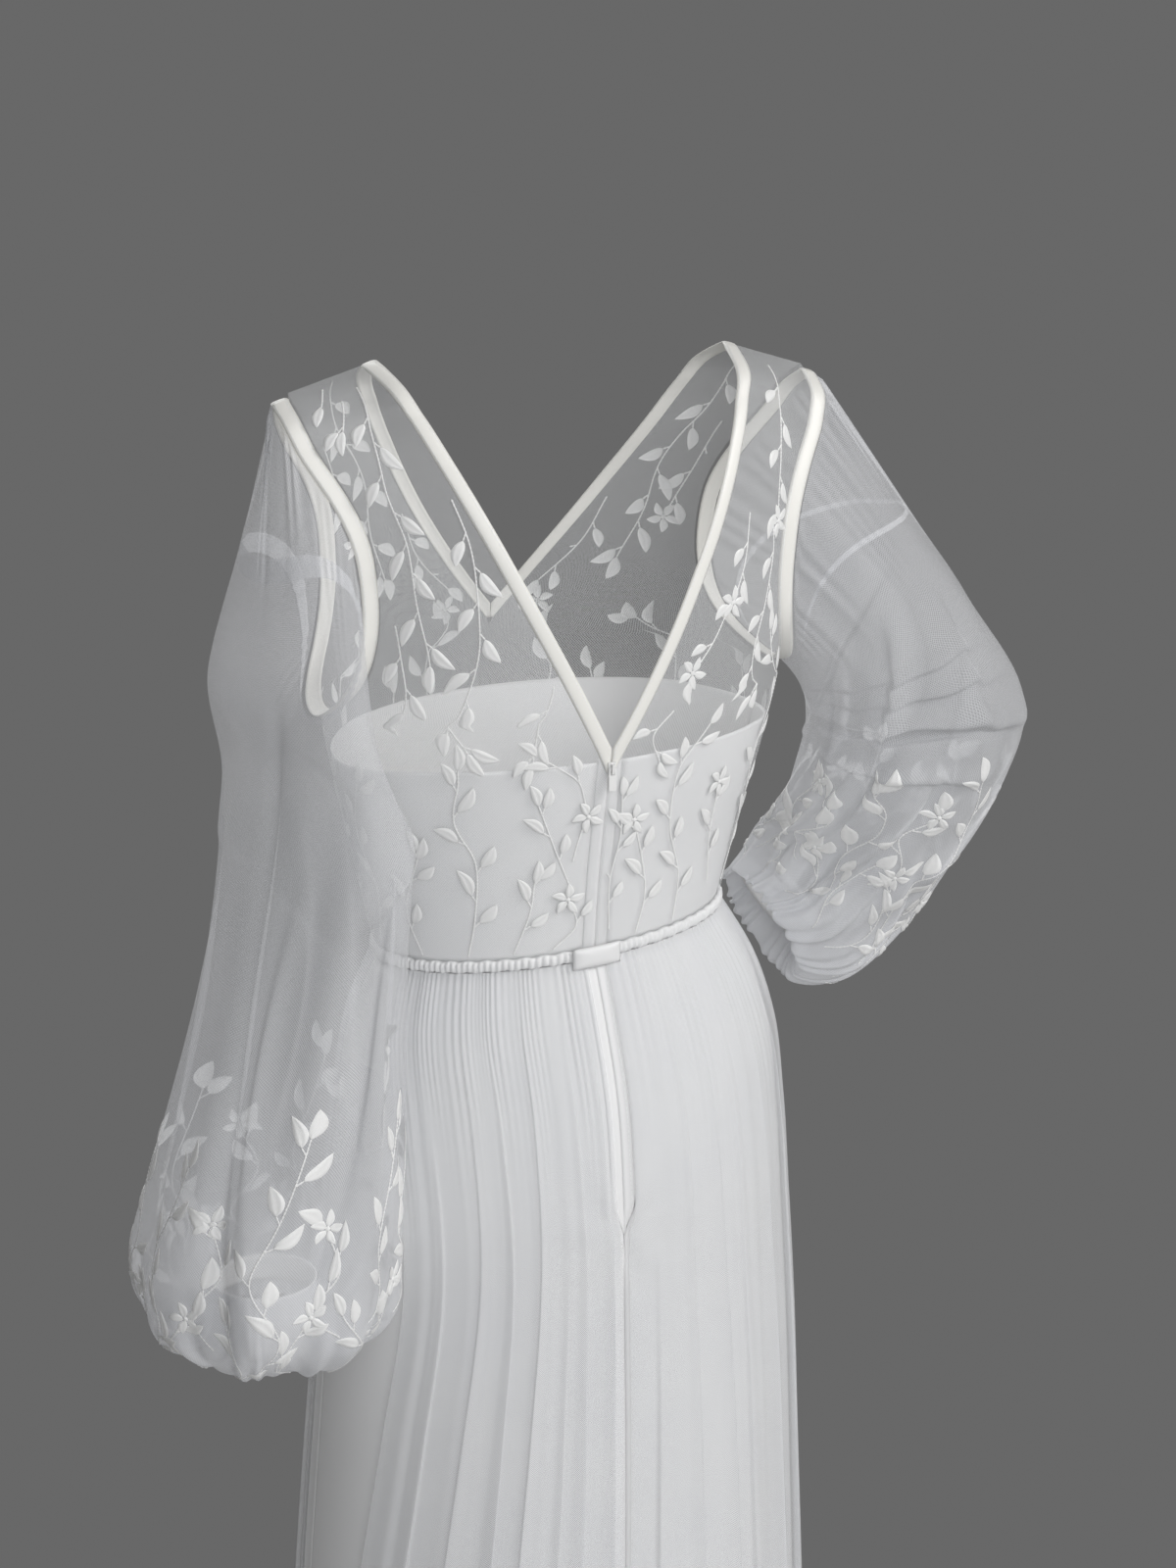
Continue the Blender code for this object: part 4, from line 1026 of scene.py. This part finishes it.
def make_skirt():
    """The satin underskirt and the gathered net over it, open down the wearer's left."""
    centre, side_right, whole = math.pi / 2, math.pi, 2 * math.pi
    overlays = {
        "back_left": (
            0, centre,
            lambda drop: opening_turn("back", drop),
            lambda drop: centre - zip_edge(OVERLAY_BESIDE_ZIP, drop),
        ),
        "back_right": (
            centre, side_right,
            lambda drop: centre + zip_edge(OVERLAY_BESIDE_ZIP, drop),
            lambda drop: side_right - SEAM_TURN,
        ),
        "front": (
            side_right, whole,
            lambda drop: side_right + SEAM_TURN,
            lambda drop: whole - opening_turn("front", drop),
        ),
    }
    for name, (first, last, low, high) in overlays.items():
        points = overlay(first, last, low, high)
        add_cloth(f"skirt_net_{name}", [points], SKIRT_NET)
    satins = {
        "back_left": (lambda drop: SEAM_TURN, lambda drop: centre - zip_edge(lining_zip_offset(drop), drop)),
        "back_right": (
            lambda drop: centre + zip_edge(lining_zip_offset(drop), drop),
            lambda drop: side_right - SEAM_TURN,
        ),
        "front": (lambda drop: side_right + SEAM_TURN, lambda drop: whole - SEAM_TURN),
    }
    drop = np.linspace(0, 1, SKIRT_ROWS)[:, None] * (SKIRT_LENGTH - SATIN_SHORTER)
    share = np.linspace(0, 1, SATIN_COLUMNS)[None, :]
    for name, (low, high) in satins.items():
        angle = low(drop) + (high(drop) - low(drop)) * share
        points = skirt(angle, drop, CLOTH / 2 + zip_puckers(angle, drop))
        add_cloth(f"skirt_satin_{name}", [points], SATIN, thickness=CLOTH)


def make_waist():
    """The narrow gathered band at the waist, and the satin tab over it at the zip."""
    open_turn = (ZIP_HALF_GAP + ZIP_TAPE_WIDTH + SEAM_GAP) / TORSO["half_width"][0]
    angle = np.linspace(math.pi / 2 + open_turn, 2.5 * math.pi - open_turn, WAIST_COLUMNS)[None, :]
    bend = np.linspace(-math.pi / 2, math.pi / 2, WAIST_ROWS)[:, None]
    pucker = WAIST_PUCKER * np.cos(waves(angle, WAIST_PUCKER_SHIFT, WAIST_PUCKERS * angle))
    rounded = np.cos(bend) ** WAIST_ROUNDNESS
    band = skirt(angle, 0.0, WAIST_EDGE_OUT + (WAIST_TAPE_THICK - WAIST_EDGE_OUT + pucker) * rounded)
    band[..., 2] += SKIRT_TOP_GAP + WAIST_TAPE_HEIGHT * (1 + np.sin(bend)) / 2
    band[..., 2] += WAIST_WANDER * np.sin(WAIST_WANDERS * angle)
    add_cloth("waist_tape", [band], WAIST_GATHERS_NET, thickness=CLOTH)
    share = np.linspace(-1, 1, TAB_COLUMNS)[None, :]
    height = np.linspace(-WAIST_TAB_OVERHANG, WAIST_TAB_OVERHANG + WAIST_TAPE_HEIGHT, TAB_ROWS)[:, None]
    across = (height - WAIST_TAPE_HEIGHT / 2) / (WAIST_TAB_OVERHANG + WAIST_TAPE_HEIGHT / 2)
    out = WAIST_TAPE_THICK + SEAM_GAP + WAIST_TAB_LIFT + CLOTH / 2
    out = out - TAB_SINK * np.maximum(share ** 4, across ** 4)
    tab = skirt(math.pi / 2 - share * WAIST_TAB_HALF_WIDTH / SKIRT["half_width"][0], 0.0, out)
    tab[..., 2] += height
    add_cloth("waist_tab", [tab], SATIN, thickness=CLOTH)


def zip_line(offset, side, out):
    """Points beside the centre back, from the point of the V down to where the opening ends."""
    rise = np.linspace(NECK_POINT["back"] - TAPE_BELOW_POINT, 0, ZIP_ROWS)
    drop = np.linspace(0, ZIP_DROP + ZIP_CLOSING, ZIP_ROWS)
    above = torso(side, "back", centre_turn(offset, rise), rise, out)
    narrowed = offset * lining_zip_offset(drop) / lining_zip_offset(0.0)
    below = skirt(math.pi / 2 - SIDES[side] * zip_edge(narrowed, drop), drop, out)
    return np.concatenate([above, below])


def make_zip_tapes():
    """The satin-covered tapes of the hidden zip, turned in along its opening. Gives back stitch lines."""
    lines = []
    for side in SIDES:
        turned_in = [zip_line(ZIP_HALF_GAP, side, -TAPE_TURN_IN * step) for step in (1.0, 0.5)]
        shown = [
            zip_line(ZIP_HALF_GAP + ZIP_TAPE_WIDTH * step, side, CLOTH / 2 + crowned(step, TAPE_CROWN))
            for step in np.linspace(0, 1, BINDING_COLUMNS)
        ]
        tape = np.stack(turned_in + shown, axis=1)
        chart = add_cloth(
            f"zip_tape_{side}", [tape], SATIN, thickness=CLOTH
        )[0]
        lines.append((tape[:, -3], chart["normals"][:, -3]))
    return lines


def along_line(values, far, at):
    """Values of a line's points, read at distances along it."""
    return np.stack([np.interp(at, far, values[:, axis]) for axis in range(3)], axis=-1)


def make_stitches(lines):
    """Short raised stitches along lines on the bindings and the zip's tapes."""
    shapes = []
    share = np.linspace(-1, 1, 3)
    for points, normals in lines:
        far = distances(points)
        for start in np.arange(0, far[-1] - STITCH_LENGTH, STITCH_GAP):
            at = start + STITCH_LENGTH * (share + 1) / 2
            middle = along_line(points, far, at)
            normal = unit(along_line(normals, far, at))
            aside = unit(np.cross(middle[-1] - middle[0], normal))
            height = CLOTH / 2 + STITCH_CROWN * np.outer(1 - share ** 2, 1 - share ** 2)
            grid = middle[:, None] + aside[:, None] * (STITCH_HALF_WIDTH * share)[None, :, None]
            grid = grid + normal[:, None] * height[..., None]
            lie = np.stack(np.broadcast_arrays(STITCH_HALF_WIDTH * share[None, :], at[:, None]), axis=-1)
            shapes.append((grid, lie))
    add_piece("binding_stitches", shapes_mesh("binding_stitches", shapes), THREAD)


def sample(grid, row, column, closed):
    """Values of a grid at places between its rows and columns."""
    rows, columns = grid.shape[:2]
    row = np.clip(row, 0, rows - 1 - GRID_MARGIN)
    column = column % columns if closed else np.clip(column, 0, columns - 1 - GRID_MARGIN)
    above, before = np.floor(row).astype(int), np.floor(column).astype(int)
    down, aside = (row - above)[..., None], (column - before)[..., None]
    after = (before + 1) % columns
    near = grid[above, before] * (1 - aside) + grid[above, after] * aside
    far = grid[above + 1, before] * (1 - aside) + grid[above + 1, after] * aside
    return near * (1 - down) + far * down


def cloth_steps(chart, place):
    """How many rows and columns lie in a metre to the right and a metre upwards, at a place on the cloth."""
    ends = np.array(place, float)[:, None] + FRAME_REACH * np.array([(-1, 1, 0, 0), (0, 0, -1, 1)])
    last = np.array(chart["points"].shape[:2])[:, None] - 1 - GRID_MARGIN
    ends[0] = np.clip(ends[0], 0, last[0])
    if not chart["closed"]:
        ends[1] = np.clip(ends[1], 0, last[1])
    points = sample(chart["smooth"], ends[0], ends[1], chart["closed"])
    down = (points[1] - points[0]) / (ends[0, 1] - ends[0, 0])
    across = (points[3] - points[2]) / (ends[1, 3] - ends[1, 2])
    normal = sample(chart["facing"], ends[0], ends[1], chart["closed"]).mean(axis=0)
    right = unit(np.cross((0, 0, 1), normal))
    up = unit(np.cross(normal, right))
    return np.linalg.pinv(np.stack([down, across], axis=1)) @ np.stack([right, up], axis=1)


def moved(steps, place, heading, aside, ahead):
    """Places at distances aside and ahead of a place, for a heading of 0 degrees up and 90 to the right."""
    turn = math.radians(heading)
    right = aside * math.cos(turn) + ahead * math.sin(turn)
    up = ahead * math.cos(turn) - aside * math.sin(turn)
    row, column = place
    return row + steps[0, 0] * right + steps[0, 1] * up, column + steps[1, 0] * right + steps[1, 1] * up


def on_cloth(chart, places, height):
    """Points at a height over places on the cloth."""
    row, column = places
    points = sample(chart["points"], row, column, chart["closed"])
    normals = sample(chart["normals"], row, column, chart["closed"])
    return points + normals * np.asarray(height)[..., None]


def inside_cloth(chart, places):
    """Whether all the places lie on the cloth."""
    row, column = places
    rows, columns = chart["points"].shape[:2]
    if row.min() < 0 or row.max() > rows - 1:
        return False
    return chart["closed"] or (column.min() >= 0 and column.max() <= columns - 1)


def satin_leaf(chart, place, heading, length, width):
    """A leaf or petal of satin stitch: a raised almond with a groove along its middle."""
    ahead = np.linspace(0, 1, LEAF_ROWS)[:, None]
    share = np.linspace(-1, 1, LEAF_COLUMNS)[None, :]
    plump = np.sin(np.pi * ahead ** LEAF_WIDEST_EARLY) ** LEAF_ROUNDNESS
    aside = share * plump * width / 2 + LEAF_BEND * length * np.sin(np.pi * ahead)
    along = ahead * length + 0 * share
    places = moved(cloth_steps(chart, place), place, heading, aside, along)
    if not inside_cloth(chart, places):
        return []
    sunk = LEAF_GROOVE * np.exp(-((share / LEAF_GROOVE_WIDTH) ** 2))
    crown = np.sqrt(np.maximum(1 - share ** 2, 0.0)) * (1 - sunk)
    height = THREAD_LIFT + LEAF_CROWN * crown * (LEAF_TIP_HEIGHT + (1 - LEAF_TIP_HEIGHT) * plump)
    weave = np.stack([share * plump * width / 2, along], axis=-1)
    return [(on_cloth(chart, places, height), weave)]


def chain_stem(chart, rows, columns):
    """A stem of chain stitch through places on the cloth."""
    path = on_cloth(chart, (rows, columns), np.zeros(len(rows)))
    far = distances(path)
    count = max(round(far[-1] / STEM_STEP), 3)
    even = np.linspace(0, far[-1], count)
    rows, columns = np.interp(even, far, rows), np.interp(even, far, columns)
    path = on_cloth(chart, (rows, columns), np.zeros(count))
    normals = unit(sample(chart["normals"], rows, columns, chart["closed"]))
    side = unit(np.cross(np.gradient(path, axis=0), normals) + NO_LENGTH)
    link = np.abs(np.sin(np.pi * even / STEM_LINK))
    share = np.linspace(-1, 1, 3)
    aside = (STEM_HALF_WIDTH * (LINK_NARROW + (1 - LINK_NARROW) * link))[:, None] * share
    height = THREAD_LIFT + STEM_CROWN * (LINK_LOW + (1 - LINK_LOW) * link)[:, None] * (1 - share ** 2)
    points = path[:, None] + side[:, None] * aside[..., None] + normals[:, None] * height[..., None]
    weave = np.stack([aside, np.broadcast_to(even[:, None], (count, 3))], axis=-1)
    return [(points, weave)]


def knot(chart, place):
    """The knot of thread at a flower's centre."""
    turn = np.linspace(0, 2 * math.pi, KNOT_SIDES + 1)[None, :]
    reach = np.linspace(0, 1, KNOT_RINGS)[:, None]
    aside, ahead = KNOT * reach * np.cos(turn), KNOT * reach * np.sin(turn)
    places = moved(cloth_steps(chart, place), place, 0, aside, ahead)
    height = THREAD_LIFT + KNOT_CROWN * LEAF_CROWN * np.sqrt(1 - KNOT_FALL * reach ** 2) + 0 * turn
    weave = np.stack([aside, ahead], axis=-1)
    return [(on_cloth(chart, places, height), weave)] if inside_cloth(chart, places) else []


def flower(chart, place, heading):
    """A small flower of five petals round a knot."""
    steps = cloth_steps(chart, place)
    shapes = knot(chart, place)
    for number in range(PETALS):
        turn = heading + 360 / PETALS * number
        root = moved(steps, place, turn, 0.0, PETAL_START)
        shapes += satin_leaf(chart, root, turn, PETAL_LENGTH, PETAL_WIDTH)
    return shapes


def heading_at(chart, rows, columns, number):
    """The heading of a stem at one of its places."""
    ahead, behind = min(number + 1, len(rows) - 1), max(number - 1, 0)
    rise = np.array([rows[ahead] - rows[behind], columns[ahead] - columns[behind]])
    right, up = np.linalg.inv(cloth_steps(chart, (rows[number], columns[number]))) @ rise
    return math.degrees(math.atan2(right, up))


def sprig(chart, rises, shares, leaf_gap, size, ends_in_flower):
    """A stem through a few places, with leaves on short stalks by turns on its two sides."""
    keys = {"at": np.linspace(0, 1, len(rises)), "row": rises, "column": shares}
    at = np.linspace(0, 1, STEM_POINTS)
    height, width = chart["points"].shape[:2]
    rows = read(keys, "row", at) * (height - 1)
    columns = read(keys, "column", at) * (width if chart["closed"] else width - 1)
    shapes = chain_stem(chart, rows, columns)
    path = on_cloth(chart, (rows, columns), np.zeros(len(rows)))
    far = distances(path)
    count = max(int(far[-1] / leaf_gap), 1)
    for leaf in range(1, count + 1):
        number = int(np.searchsorted(far, min(leaf * leaf_gap, far[-1] - LAST_LEAF_GAP)))
        place = (rows[number], columns[number])
        side = 1 if leaf % 2 else -1
        heading = heading_at(chart, rows, columns, number) + side * LEAF_LEAN
        root = moved(cloth_steps(chart, place), place, heading, 0.0, STALK)
        shapes += chain_stem(chart, np.linspace(place[0], root[0], 3), np.linspace(place[1], root[1], 3))
        long = LEAF_LENGTH * size * (1 - LEAF_UNEVEN * math.sin(LEAF_RHYTHM * leaf))
        shapes += satin_leaf(chart, root, heading - side * LEAF_TURN_BACK, long, LEAF_WIDTH * size)
    tip, heading = (rows[-1], columns[-1]), heading_at(chart, rows, columns, len(rows) - 1)
    if ends_in_flower:
        return shapes + flower(chart, tip, heading + FLOWER_TURN)
    return shapes + satin_leaf(chart, tip, heading, LEAF_LENGTH * size, LEAF_WIDTH * size)


def shapes_mesh(name, shapes):
    """One mesh of all the stitched shapes."""
    grids, lies = zip(*shapes)
    return woven_mesh(name, grids, lies, [False] * len(grids))


def embroider_bodice():
    """Leafy stems over the bodice's net: hanging from the yoke, and rising from the waist."""
    for panel in ("back_left", "back_right", "front_left", "front_right"):
        stems = BODICE_STEMS.get(panel, BODICE_STEMS["front"])
        shapes = [shape for stem in stems for shape in sprig(charts[panel], *stem)]
        name = f"bodice_{panel}_embroidery"
        add_piece(name, shapes_mesh(name, shapes), THREAD)


def embroider_sleeves():
    """Leafy sprigs all round each sleeve above its gathered hem."""
    for side in SIDES:
        chart = charts[f"sleeve_{side}"]
        shapes = []
        rows = list(zip(*SLEEVE_SPRIGS.values()))
        for number, (start, end, sway, blossom) in enumerate(rows):
            middle = (number + 0.5) / len(rows)
            rises = [start, (2 * start + end) / 3, (start + 2 * end) / 3, end]
            shares = [middle - sway, middle + sway, middle - 0.6 * sway, middle + sway]
            shapes += sprig(chart, rises, shares, SPRIG_LEAF_GAP, 1.0, bool(blossom))
            aside = middle + 0.5 / len(rows)
            low, high = LOW_SPRIG_START - LOW_SPRIG_SPREAD * start, LOW_SPRIG_END + LOW_SPRIG_SPREAD * end
            rises = [low, (LOW_SPRIG_START + LOW_SPRIG_END) / 2, high]
            shares = [aside + sway / 2, aside - sway, aside + sway]
            shapes += sprig(chart, rises, shares, LOW_SPRIG_LEAF_GAP, LOW_SPRIG_SIZE, not blossom)
        name = f"sleeve_{side}_embroidery"
        add_piece(name, shapes_mesh(name, shapes), THREAD)


def named_group(name, inputs, outputs):
    """An empty shader node group with its sockets. Gives back the group and its two end nodes."""
    group = bpy.data.node_groups.new(name, "ShaderNodeTree")
    for socket, value in inputs.items():
        item = group.interface.new_socket(socket, in_out="INPUT", socket_type="NodeSocketFloat")
        item.default_value = value
    for socket in outputs:
        group.interface.new_socket(socket, in_out="OUTPUT", socket_type="NodeSocketFloat")
    return group, group.nodes.new("NodeGroupInput"), group.nodes.new("NodeGroupOutput")


def math_node(tree, operation, first, second=None, third=None):
    """A Math node over sockets or numbers. Gives back its output."""
    node = tree.nodes.new("ShaderNodeMath")
    node.operation = operation
    for socket, value in zip(node.inputs, (first, second, third)):
        if isinstance(value, (int, float)):
            socket.default_value = value
        elif value is not None:
            tree.links.new(value, socket)
    return node.outputs[0]


def weave_place(tree):
    """The two distances of a point in the cloth's weave, in metres."""
    uv = tree.nodes.new("ShaderNodeUVMap")
    uv.uv_map = "weave"
    split = tree.nodes.new("ShaderNodeSeparateXYZ")
    tree.links.new(uv.outputs["UV"], split.inputs[0])
    return split.outputs[0], split.outputs[1]


def thread_ridge(tree, distance, pitch, share):
    """1 on threads that lie a pitch apart along a distance, each a share of the pitch wide."""
    phase = math_node(tree, "PINGPONG", math_node(tree, "DIVIDE", distance, pitch), 0.5)
    edge = math_node(tree, "SUBTRACT", 0.5, math_node(tree, "MULTIPLY", share, 0.5))
    rise = math_node(tree, "MULTIPLY", math_node(tree, "SUBTRACT", phase, edge), THREAD_EDGE)
    return math_node(tree, "MINIMUM", math_node(tree, "MAXIMUM", rise, 0.0), 1.0)


def make_net_group():
    """The threads of a net: two slanting sets of threads that cross."""
    group, ends, out = named_group("net threads", {"Pitch": 0.0013, "Thread share": 0.2}, ["Threads"])
    across, along = weave_place(group)
    lean = math_node(group, "MULTIPLY", across, NET_LEAN)
    pitch, share = ends.outputs["Pitch"], ends.outputs["Thread share"]
    rising = thread_ridge(group, math_node(group, "ADD", along, lean), pitch, share)
    falling = thread_ridge(group, math_node(group, "SUBTRACT", along, lean), pitch, share)
    group.links.new(math_node(group, "MAXIMUM", rising, falling), out.inputs["Threads"])
    return group


def make_mottle_group():
    """Slow, soft unevenness of a cloth, from 0 to 1."""
    group, ends, out = named_group("soft unevenness", {"Scale": 30.0}, ["Shade"])
    place = group.nodes.new("ShaderNodeTexCoord")
    noise = group.nodes.new("ShaderNodeTexNoise")
    noise.inputs["Detail"].default_value = MOTTLE_DETAIL
    group.links.new(place.outputs["Object"], noise.inputs["Vector"])
    group.links.new(ends.outputs["Scale"], noise.inputs["Scale"])
    group.links.new(noise.outputs["Fac"], out.inputs["Shade"])
    return group


def make_satin_group():
    """The height of satin's close slanting weave."""
    group, ends, out = named_group("satin weave", {"Pitch": SATIN_PITCH}, ["Height"])
    across, along = weave_place(group)
    slant = math_node(group, "ADD", across, math_node(group, "MULTIPLY", along, SATIN_SLANT))
    ridge = thread_ridge(group, slant, ends.outputs["Pitch"], SATIN_THREAD_SHARE)
    group.links.new(ridge, out.inputs["Height"])
    return group


def make_stitch_group():
    """The slanting threads of satin stitch, either side of a leaf's middle."""
    group, ends, out = named_group("satin stitch", {"Pitch": STITCH_PITCH}, ["Height"])
    across, along = weave_place(group)
    aside = math_node(group, "MULTIPLY", math_node(group, "ABSOLUTE", across), STITCH_SLANT)
    slant = math_node(group, "SUBTRACT", along, aside)
    ridge = thread_ridge(group, slant, ends.outputs["Pitch"], STITCH_THREAD_SHARE)
    group.links.new(ridge, out.inputs["Height"])
    return group


def place_group(tree, group, **values):
    """A group in a material, with its own values. Gives back its node."""
    node = tree.nodes.new("ShaderNodeGroup")
    node.node_tree = group
    for socket, value in values.items():
        node.inputs[socket.replace("_", " ")].default_value = value
    return node


def new_finish(name, colour, roughness, sheen):
    """A material with the values that are the same all over it. Gives back the material and its shader."""
    material = bpy.data.materials.new(name)
    material.use_nodes = True
    shader = material.node_tree.nodes["Principled BSDF"]
    shader.inputs["Base Color"].default_value = (*colour, 1.0)
    shader.inputs["Roughness"].default_value = roughness
    shader.inputs["Sheen Weight"].default_value = sheen
    shader.inputs["Sheen Roughness"].default_value = CLOTH_SHEEN_ROUGHNESS
    return material, shader


def range_node(tree, value, low, high):
    """A value from 0 to 1, spread between two numbers."""
    node = tree.nodes.new("ShaderNodeMapRange")
    node.inputs["To Min"].default_value = low
    node.inputs["To Max"].default_value = high
    tree.links.new(value, node.inputs["Value"])
    return node.outputs[0]


def shade_colour(tree, shader, shade, dark, light):
    """Vary the base colour between two colours by a shade from 0 to 1."""
    mix = tree.nodes.new("ShaderNodeMix")
    mix.data_type = "RGBA"
    mix.inputs["A"].default_value = (*dark, 1.0)
    mix.inputs["B"].default_value = (*light, 1.0)
    tree.links.new(shade, mix.inputs["Factor"])
    tree.links.new(mix.outputs["Result"], shader.inputs["Base Color"])


def bump(tree, shader, height, strength, distance):
    """Raise the surface by a height."""
    node = tree.nodes.new("ShaderNodeBump")
    node.inputs["Strength"].default_value = strength
    node.inputs["Distance"].default_value = distance
    tree.links.new(height, node.inputs["Height"])
    tree.links.new(node.outputs["Normal"], shader.inputs["Normal"])


def make_net(name, pitch, share, least, most, dark, light, gathered=(0.0, 0.0), denser=(0.0, 0.0)):
    """A sheer net: threads over a faint haze, from least to most cover, and denser where it is gathered."""
    material, shader = new_finish(name, light, roughness=0.8, sheen=0.1)
    tree = material.node_tree
    threads = place_group(tree, NET_THREADS, Pitch=pitch, Thread_share=share).outputs["Threads"]
    mottle = place_group(tree, MOTTLE, Scale=NET_MOTTLE).outputs["Shade"]
    shade_colour(tree, shader, mottle, dark, light)
    cover = range_node(tree, threads, least, most)
    if any(denser):
        drawn_in = tree.nodes.new("ShaderNodeMapRange")
        drawn_in.inputs["From Min"].default_value, drawn_in.inputs["From Max"].default_value = gathered
        drawn_in.inputs["To Min"].default_value, drawn_in.inputs["To Max"].default_value = denser
        tree.links.new(weave_place(tree)[1], drawn_in.inputs["Value"])
        cover = math_node(tree, "MINIMUM", math_node(tree, "ADD", cover, drawn_in.outputs[0]), 1.0)
    tree.links.new(cover, shader.inputs["Alpha"])
    bump(tree, shader, threads, strength=0.4, distance=0.0002)
    return material


def make_satin(name, dark, light, roughness, strength):
    """A smooth satin with its close weave and soft unevenness."""
    material, shader = new_finish(name, light, roughness, sheen=0.15)
    tree = material.node_tree
    shade_colour(tree, shader, place_group(tree, MOTTLE, Scale=SATIN_MOTTLE).outputs["Shade"], dark, light)
    weave = place_group(tree, SATIN_WEAVE, Pitch=SATIN_PITCH).outputs["Height"]
    tree.links.new(range_node(tree, weave, roughness - 0.08, roughness + 0.06), shader.inputs["Roughness"])
    bump(tree, shader, weave, strength, distance=0.0001)
    return material


def make_thread(name, dark, light):
    """Glossy embroidery thread, laid side by side, with painted shade in the grooves between its stitches."""
    material, shader = new_finish(name, light, roughness=0.36, sheen=0.2)
    tree = material.node_tree
    stitch = place_group(tree, SATIN_STITCH, Pitch=STITCH_PITCH).outputs["Height"]
    # Painted shade: the base colour is darker in the grooves between the stitches than on their crests
    shade_colour(tree, shader, stitch, dark, light)
    bump(tree, shader, stitch, strength=0.6, distance=0.0004)
    return material


def make_lacquer(name, dark, light):
    """White enamel on metal, slightly uneven in colour and gloss."""
    material, shader = new_finish(name, light, roughness=0.3, sheen=0.0)
    tree = material.node_tree
    shader.inputs["Coat Weight"].default_value = ENAMEL_COAT
    shade = place_group(tree, MOTTLE, Scale=ENAMEL_MOTTLE).outputs["Shade"]
    shade_colour(tree, shader, shade, dark, light)
    tree.links.new(range_node(tree, shade, low=0.22, high=0.42), shader.inputs["Roughness"])
    return material


def finish_zip_metal():
    """The slider and its pull keep their CAD shape and take a white enamel."""
    lacquer = make_lacquer("white enamel", (0.74, 0.74, 0.73), (0.86, 0.86, 0.85))
    for node in ("zip_slider", "zip_pull"):
        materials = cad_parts[node].data.materials
        materials.clear()
        materials.append(lacquer)


def make_stage():
    """A pale floor under the dress."""
    mesh = bpy.data.meshes.new("floor")
    floor_z = cad_box[0][2] - FLOOR_GAP
    ring = [
        (FLOOR_RADIUS * math.cos(turn), FLOOR_RADIUS * math.sin(turn), floor_z)
        for turn in np.linspace(0, 2 * math.pi, FLOOR_SIDES, endpoint=False)
    ]
    mesh.from_pydata(ring, [], [range(FLOOR_SIDES)])
    floor = bpy.data.objects.new("floor", mesh)
    material, shader = new_finish("pale floor", FLOOR_COLOUR, roughness=0.7, sheen=0.0)
    shade = place_group(material.node_tree, MOTTLE, Scale=FLOOR_MOTTLE).outputs["Shade"]
    shade_colour(material.node_tree, shader, shade, FLOOR_DARK, FLOOR_COLOUR)
    mesh.materials.append(material)
    bpy.context.scene.collection.objects.link(floor)


def make_light(name, place, size, power, colour):
    """A soft square light that faces the middle of the dress."""
    light = bpy.data.lights.new(name, "AREA")
    light.size = size
    light.energy = power
    light.color = colour
    lamp = bpy.data.objects.new(name, light)
    lamp.location = place
    lamp.rotation_euler = (Vector(LIGHT_TARGET) - Vector(place)).to_track_quat("-Z", "Y").to_euler()
    bpy.context.scene.collection.objects.link(lamp)


def make_camera():
    """The photo's view: from behind, a little to the wearer's left, looking slightly down."""
    azimuth, elevation = math.radians(CAMERA_AZIMUTH), math.radians(CAMERA_ELEVATION)
    away = Vector((
        math.sin(azimuth) * math.cos(elevation),
        math.cos(azimuth) * math.cos(elevation),
        math.sin(elevation),
    ))
    lens = bpy.data.cameras.new("camera")
    lens.sensor_fit = "VERTICAL"
    lens.sensor_height = SENSOR
    lens.lens = SENSOR * CAMERA_DISTANCE / (FRAME_PIXELS * METRES_PER_PIXEL)
    camera = bpy.data.objects.new("camera", lens)
    camera.location = Vector(CAMERA_TARGET) + away * CAMERA_DISTANCE
    camera.rotation_euler = (-away).to_track_quat("-Z", "Y").to_euler()
    bpy.context.scene.collection.objects.link(camera)
    bpy.context.scene.camera = camera


def make_world():
    """An even mid-grey studio all round."""
    world = bpy.data.worlds.new("studio")
    world.use_nodes = True
    world.node_tree.nodes["Background"].inputs["Color"].default_value = (*STUDIO_GREY, 1.0)
    bpy.context.scene.world = world
    bpy.context.scene.view_settings.view_transform = "Standard"


NET_THREADS = make_net_group()
MOTTLE = make_mottle_group()
SATIN_WEAVE = make_satin_group()
SATIN_STITCH = make_stitch_group()
BODICE_NET = make_net(
    "bodice net", pitch=0.0019, share=0.20, least=0.11, most=0.80,
    dark=(0.82, 0.83, 0.85), light=(0.89, 0.90, 0.90),
)
SLEEVE_NET = {
    side: make_net(
        f"{side} sleeve net", pitch=0.0019, share=0.20, least=0.27, most=0.56,
        dark=(0.82, 0.83, 0.86), light=(0.90, 0.905, 0.92), gathered=gathered, denser=denser,
    )
    for side, (gathered, denser) in SLEEVE_GATHERED.items()
}
SKIRT_NET = make_net(
    "skirt net", pitch=0.0014, share=0.22, least=0.28, most=0.80,
    dark=(0.83, 0.84, 0.87), light=(0.91, 0.915, 0.92), gathered=SKIRT_GATHERED, denser=SKIRT_DENSER,
)
WAIST_GATHERS_NET = make_net(
    "gathered net", pitch=0.0010, share=0.40, least=0.75, most=1.00,
    dark=(0.86, 0.865, 0.87), light=(0.93, 0.93, 0.93),
)
SATIN = make_satin(
    "satin", dark=(0.80, 0.80, 0.80), light=(0.86, 0.86, 0.86), roughness=0.42, strength=0.15
)
BINDING = make_satin(
    "ivory satin", dark=(0.84, 0.83, 0.78), light=(0.89, 0.88, 0.84), roughness=0.38, strength=0.25
)
# The first colour is the painted shade between the stitches, the second the thread's own white
THREAD = make_thread("embroidery thread with painted groove shade", (0.82, 0.82, 0.81), (0.96, 0.96, 0.95))

charts = make_bodice()
stitch_lines = make_bindings()
charts.update(make_sleeves())
make_skirt()
make_waist()
stitch_lines += make_zip_tapes()
make_stitches(stitch_lines)
finish_zip_metal()
embroider_bodice()
embroider_sleeves()
make_stage()
make_world()
make_camera()
for light in LIGHTS:
    make_light(*light)
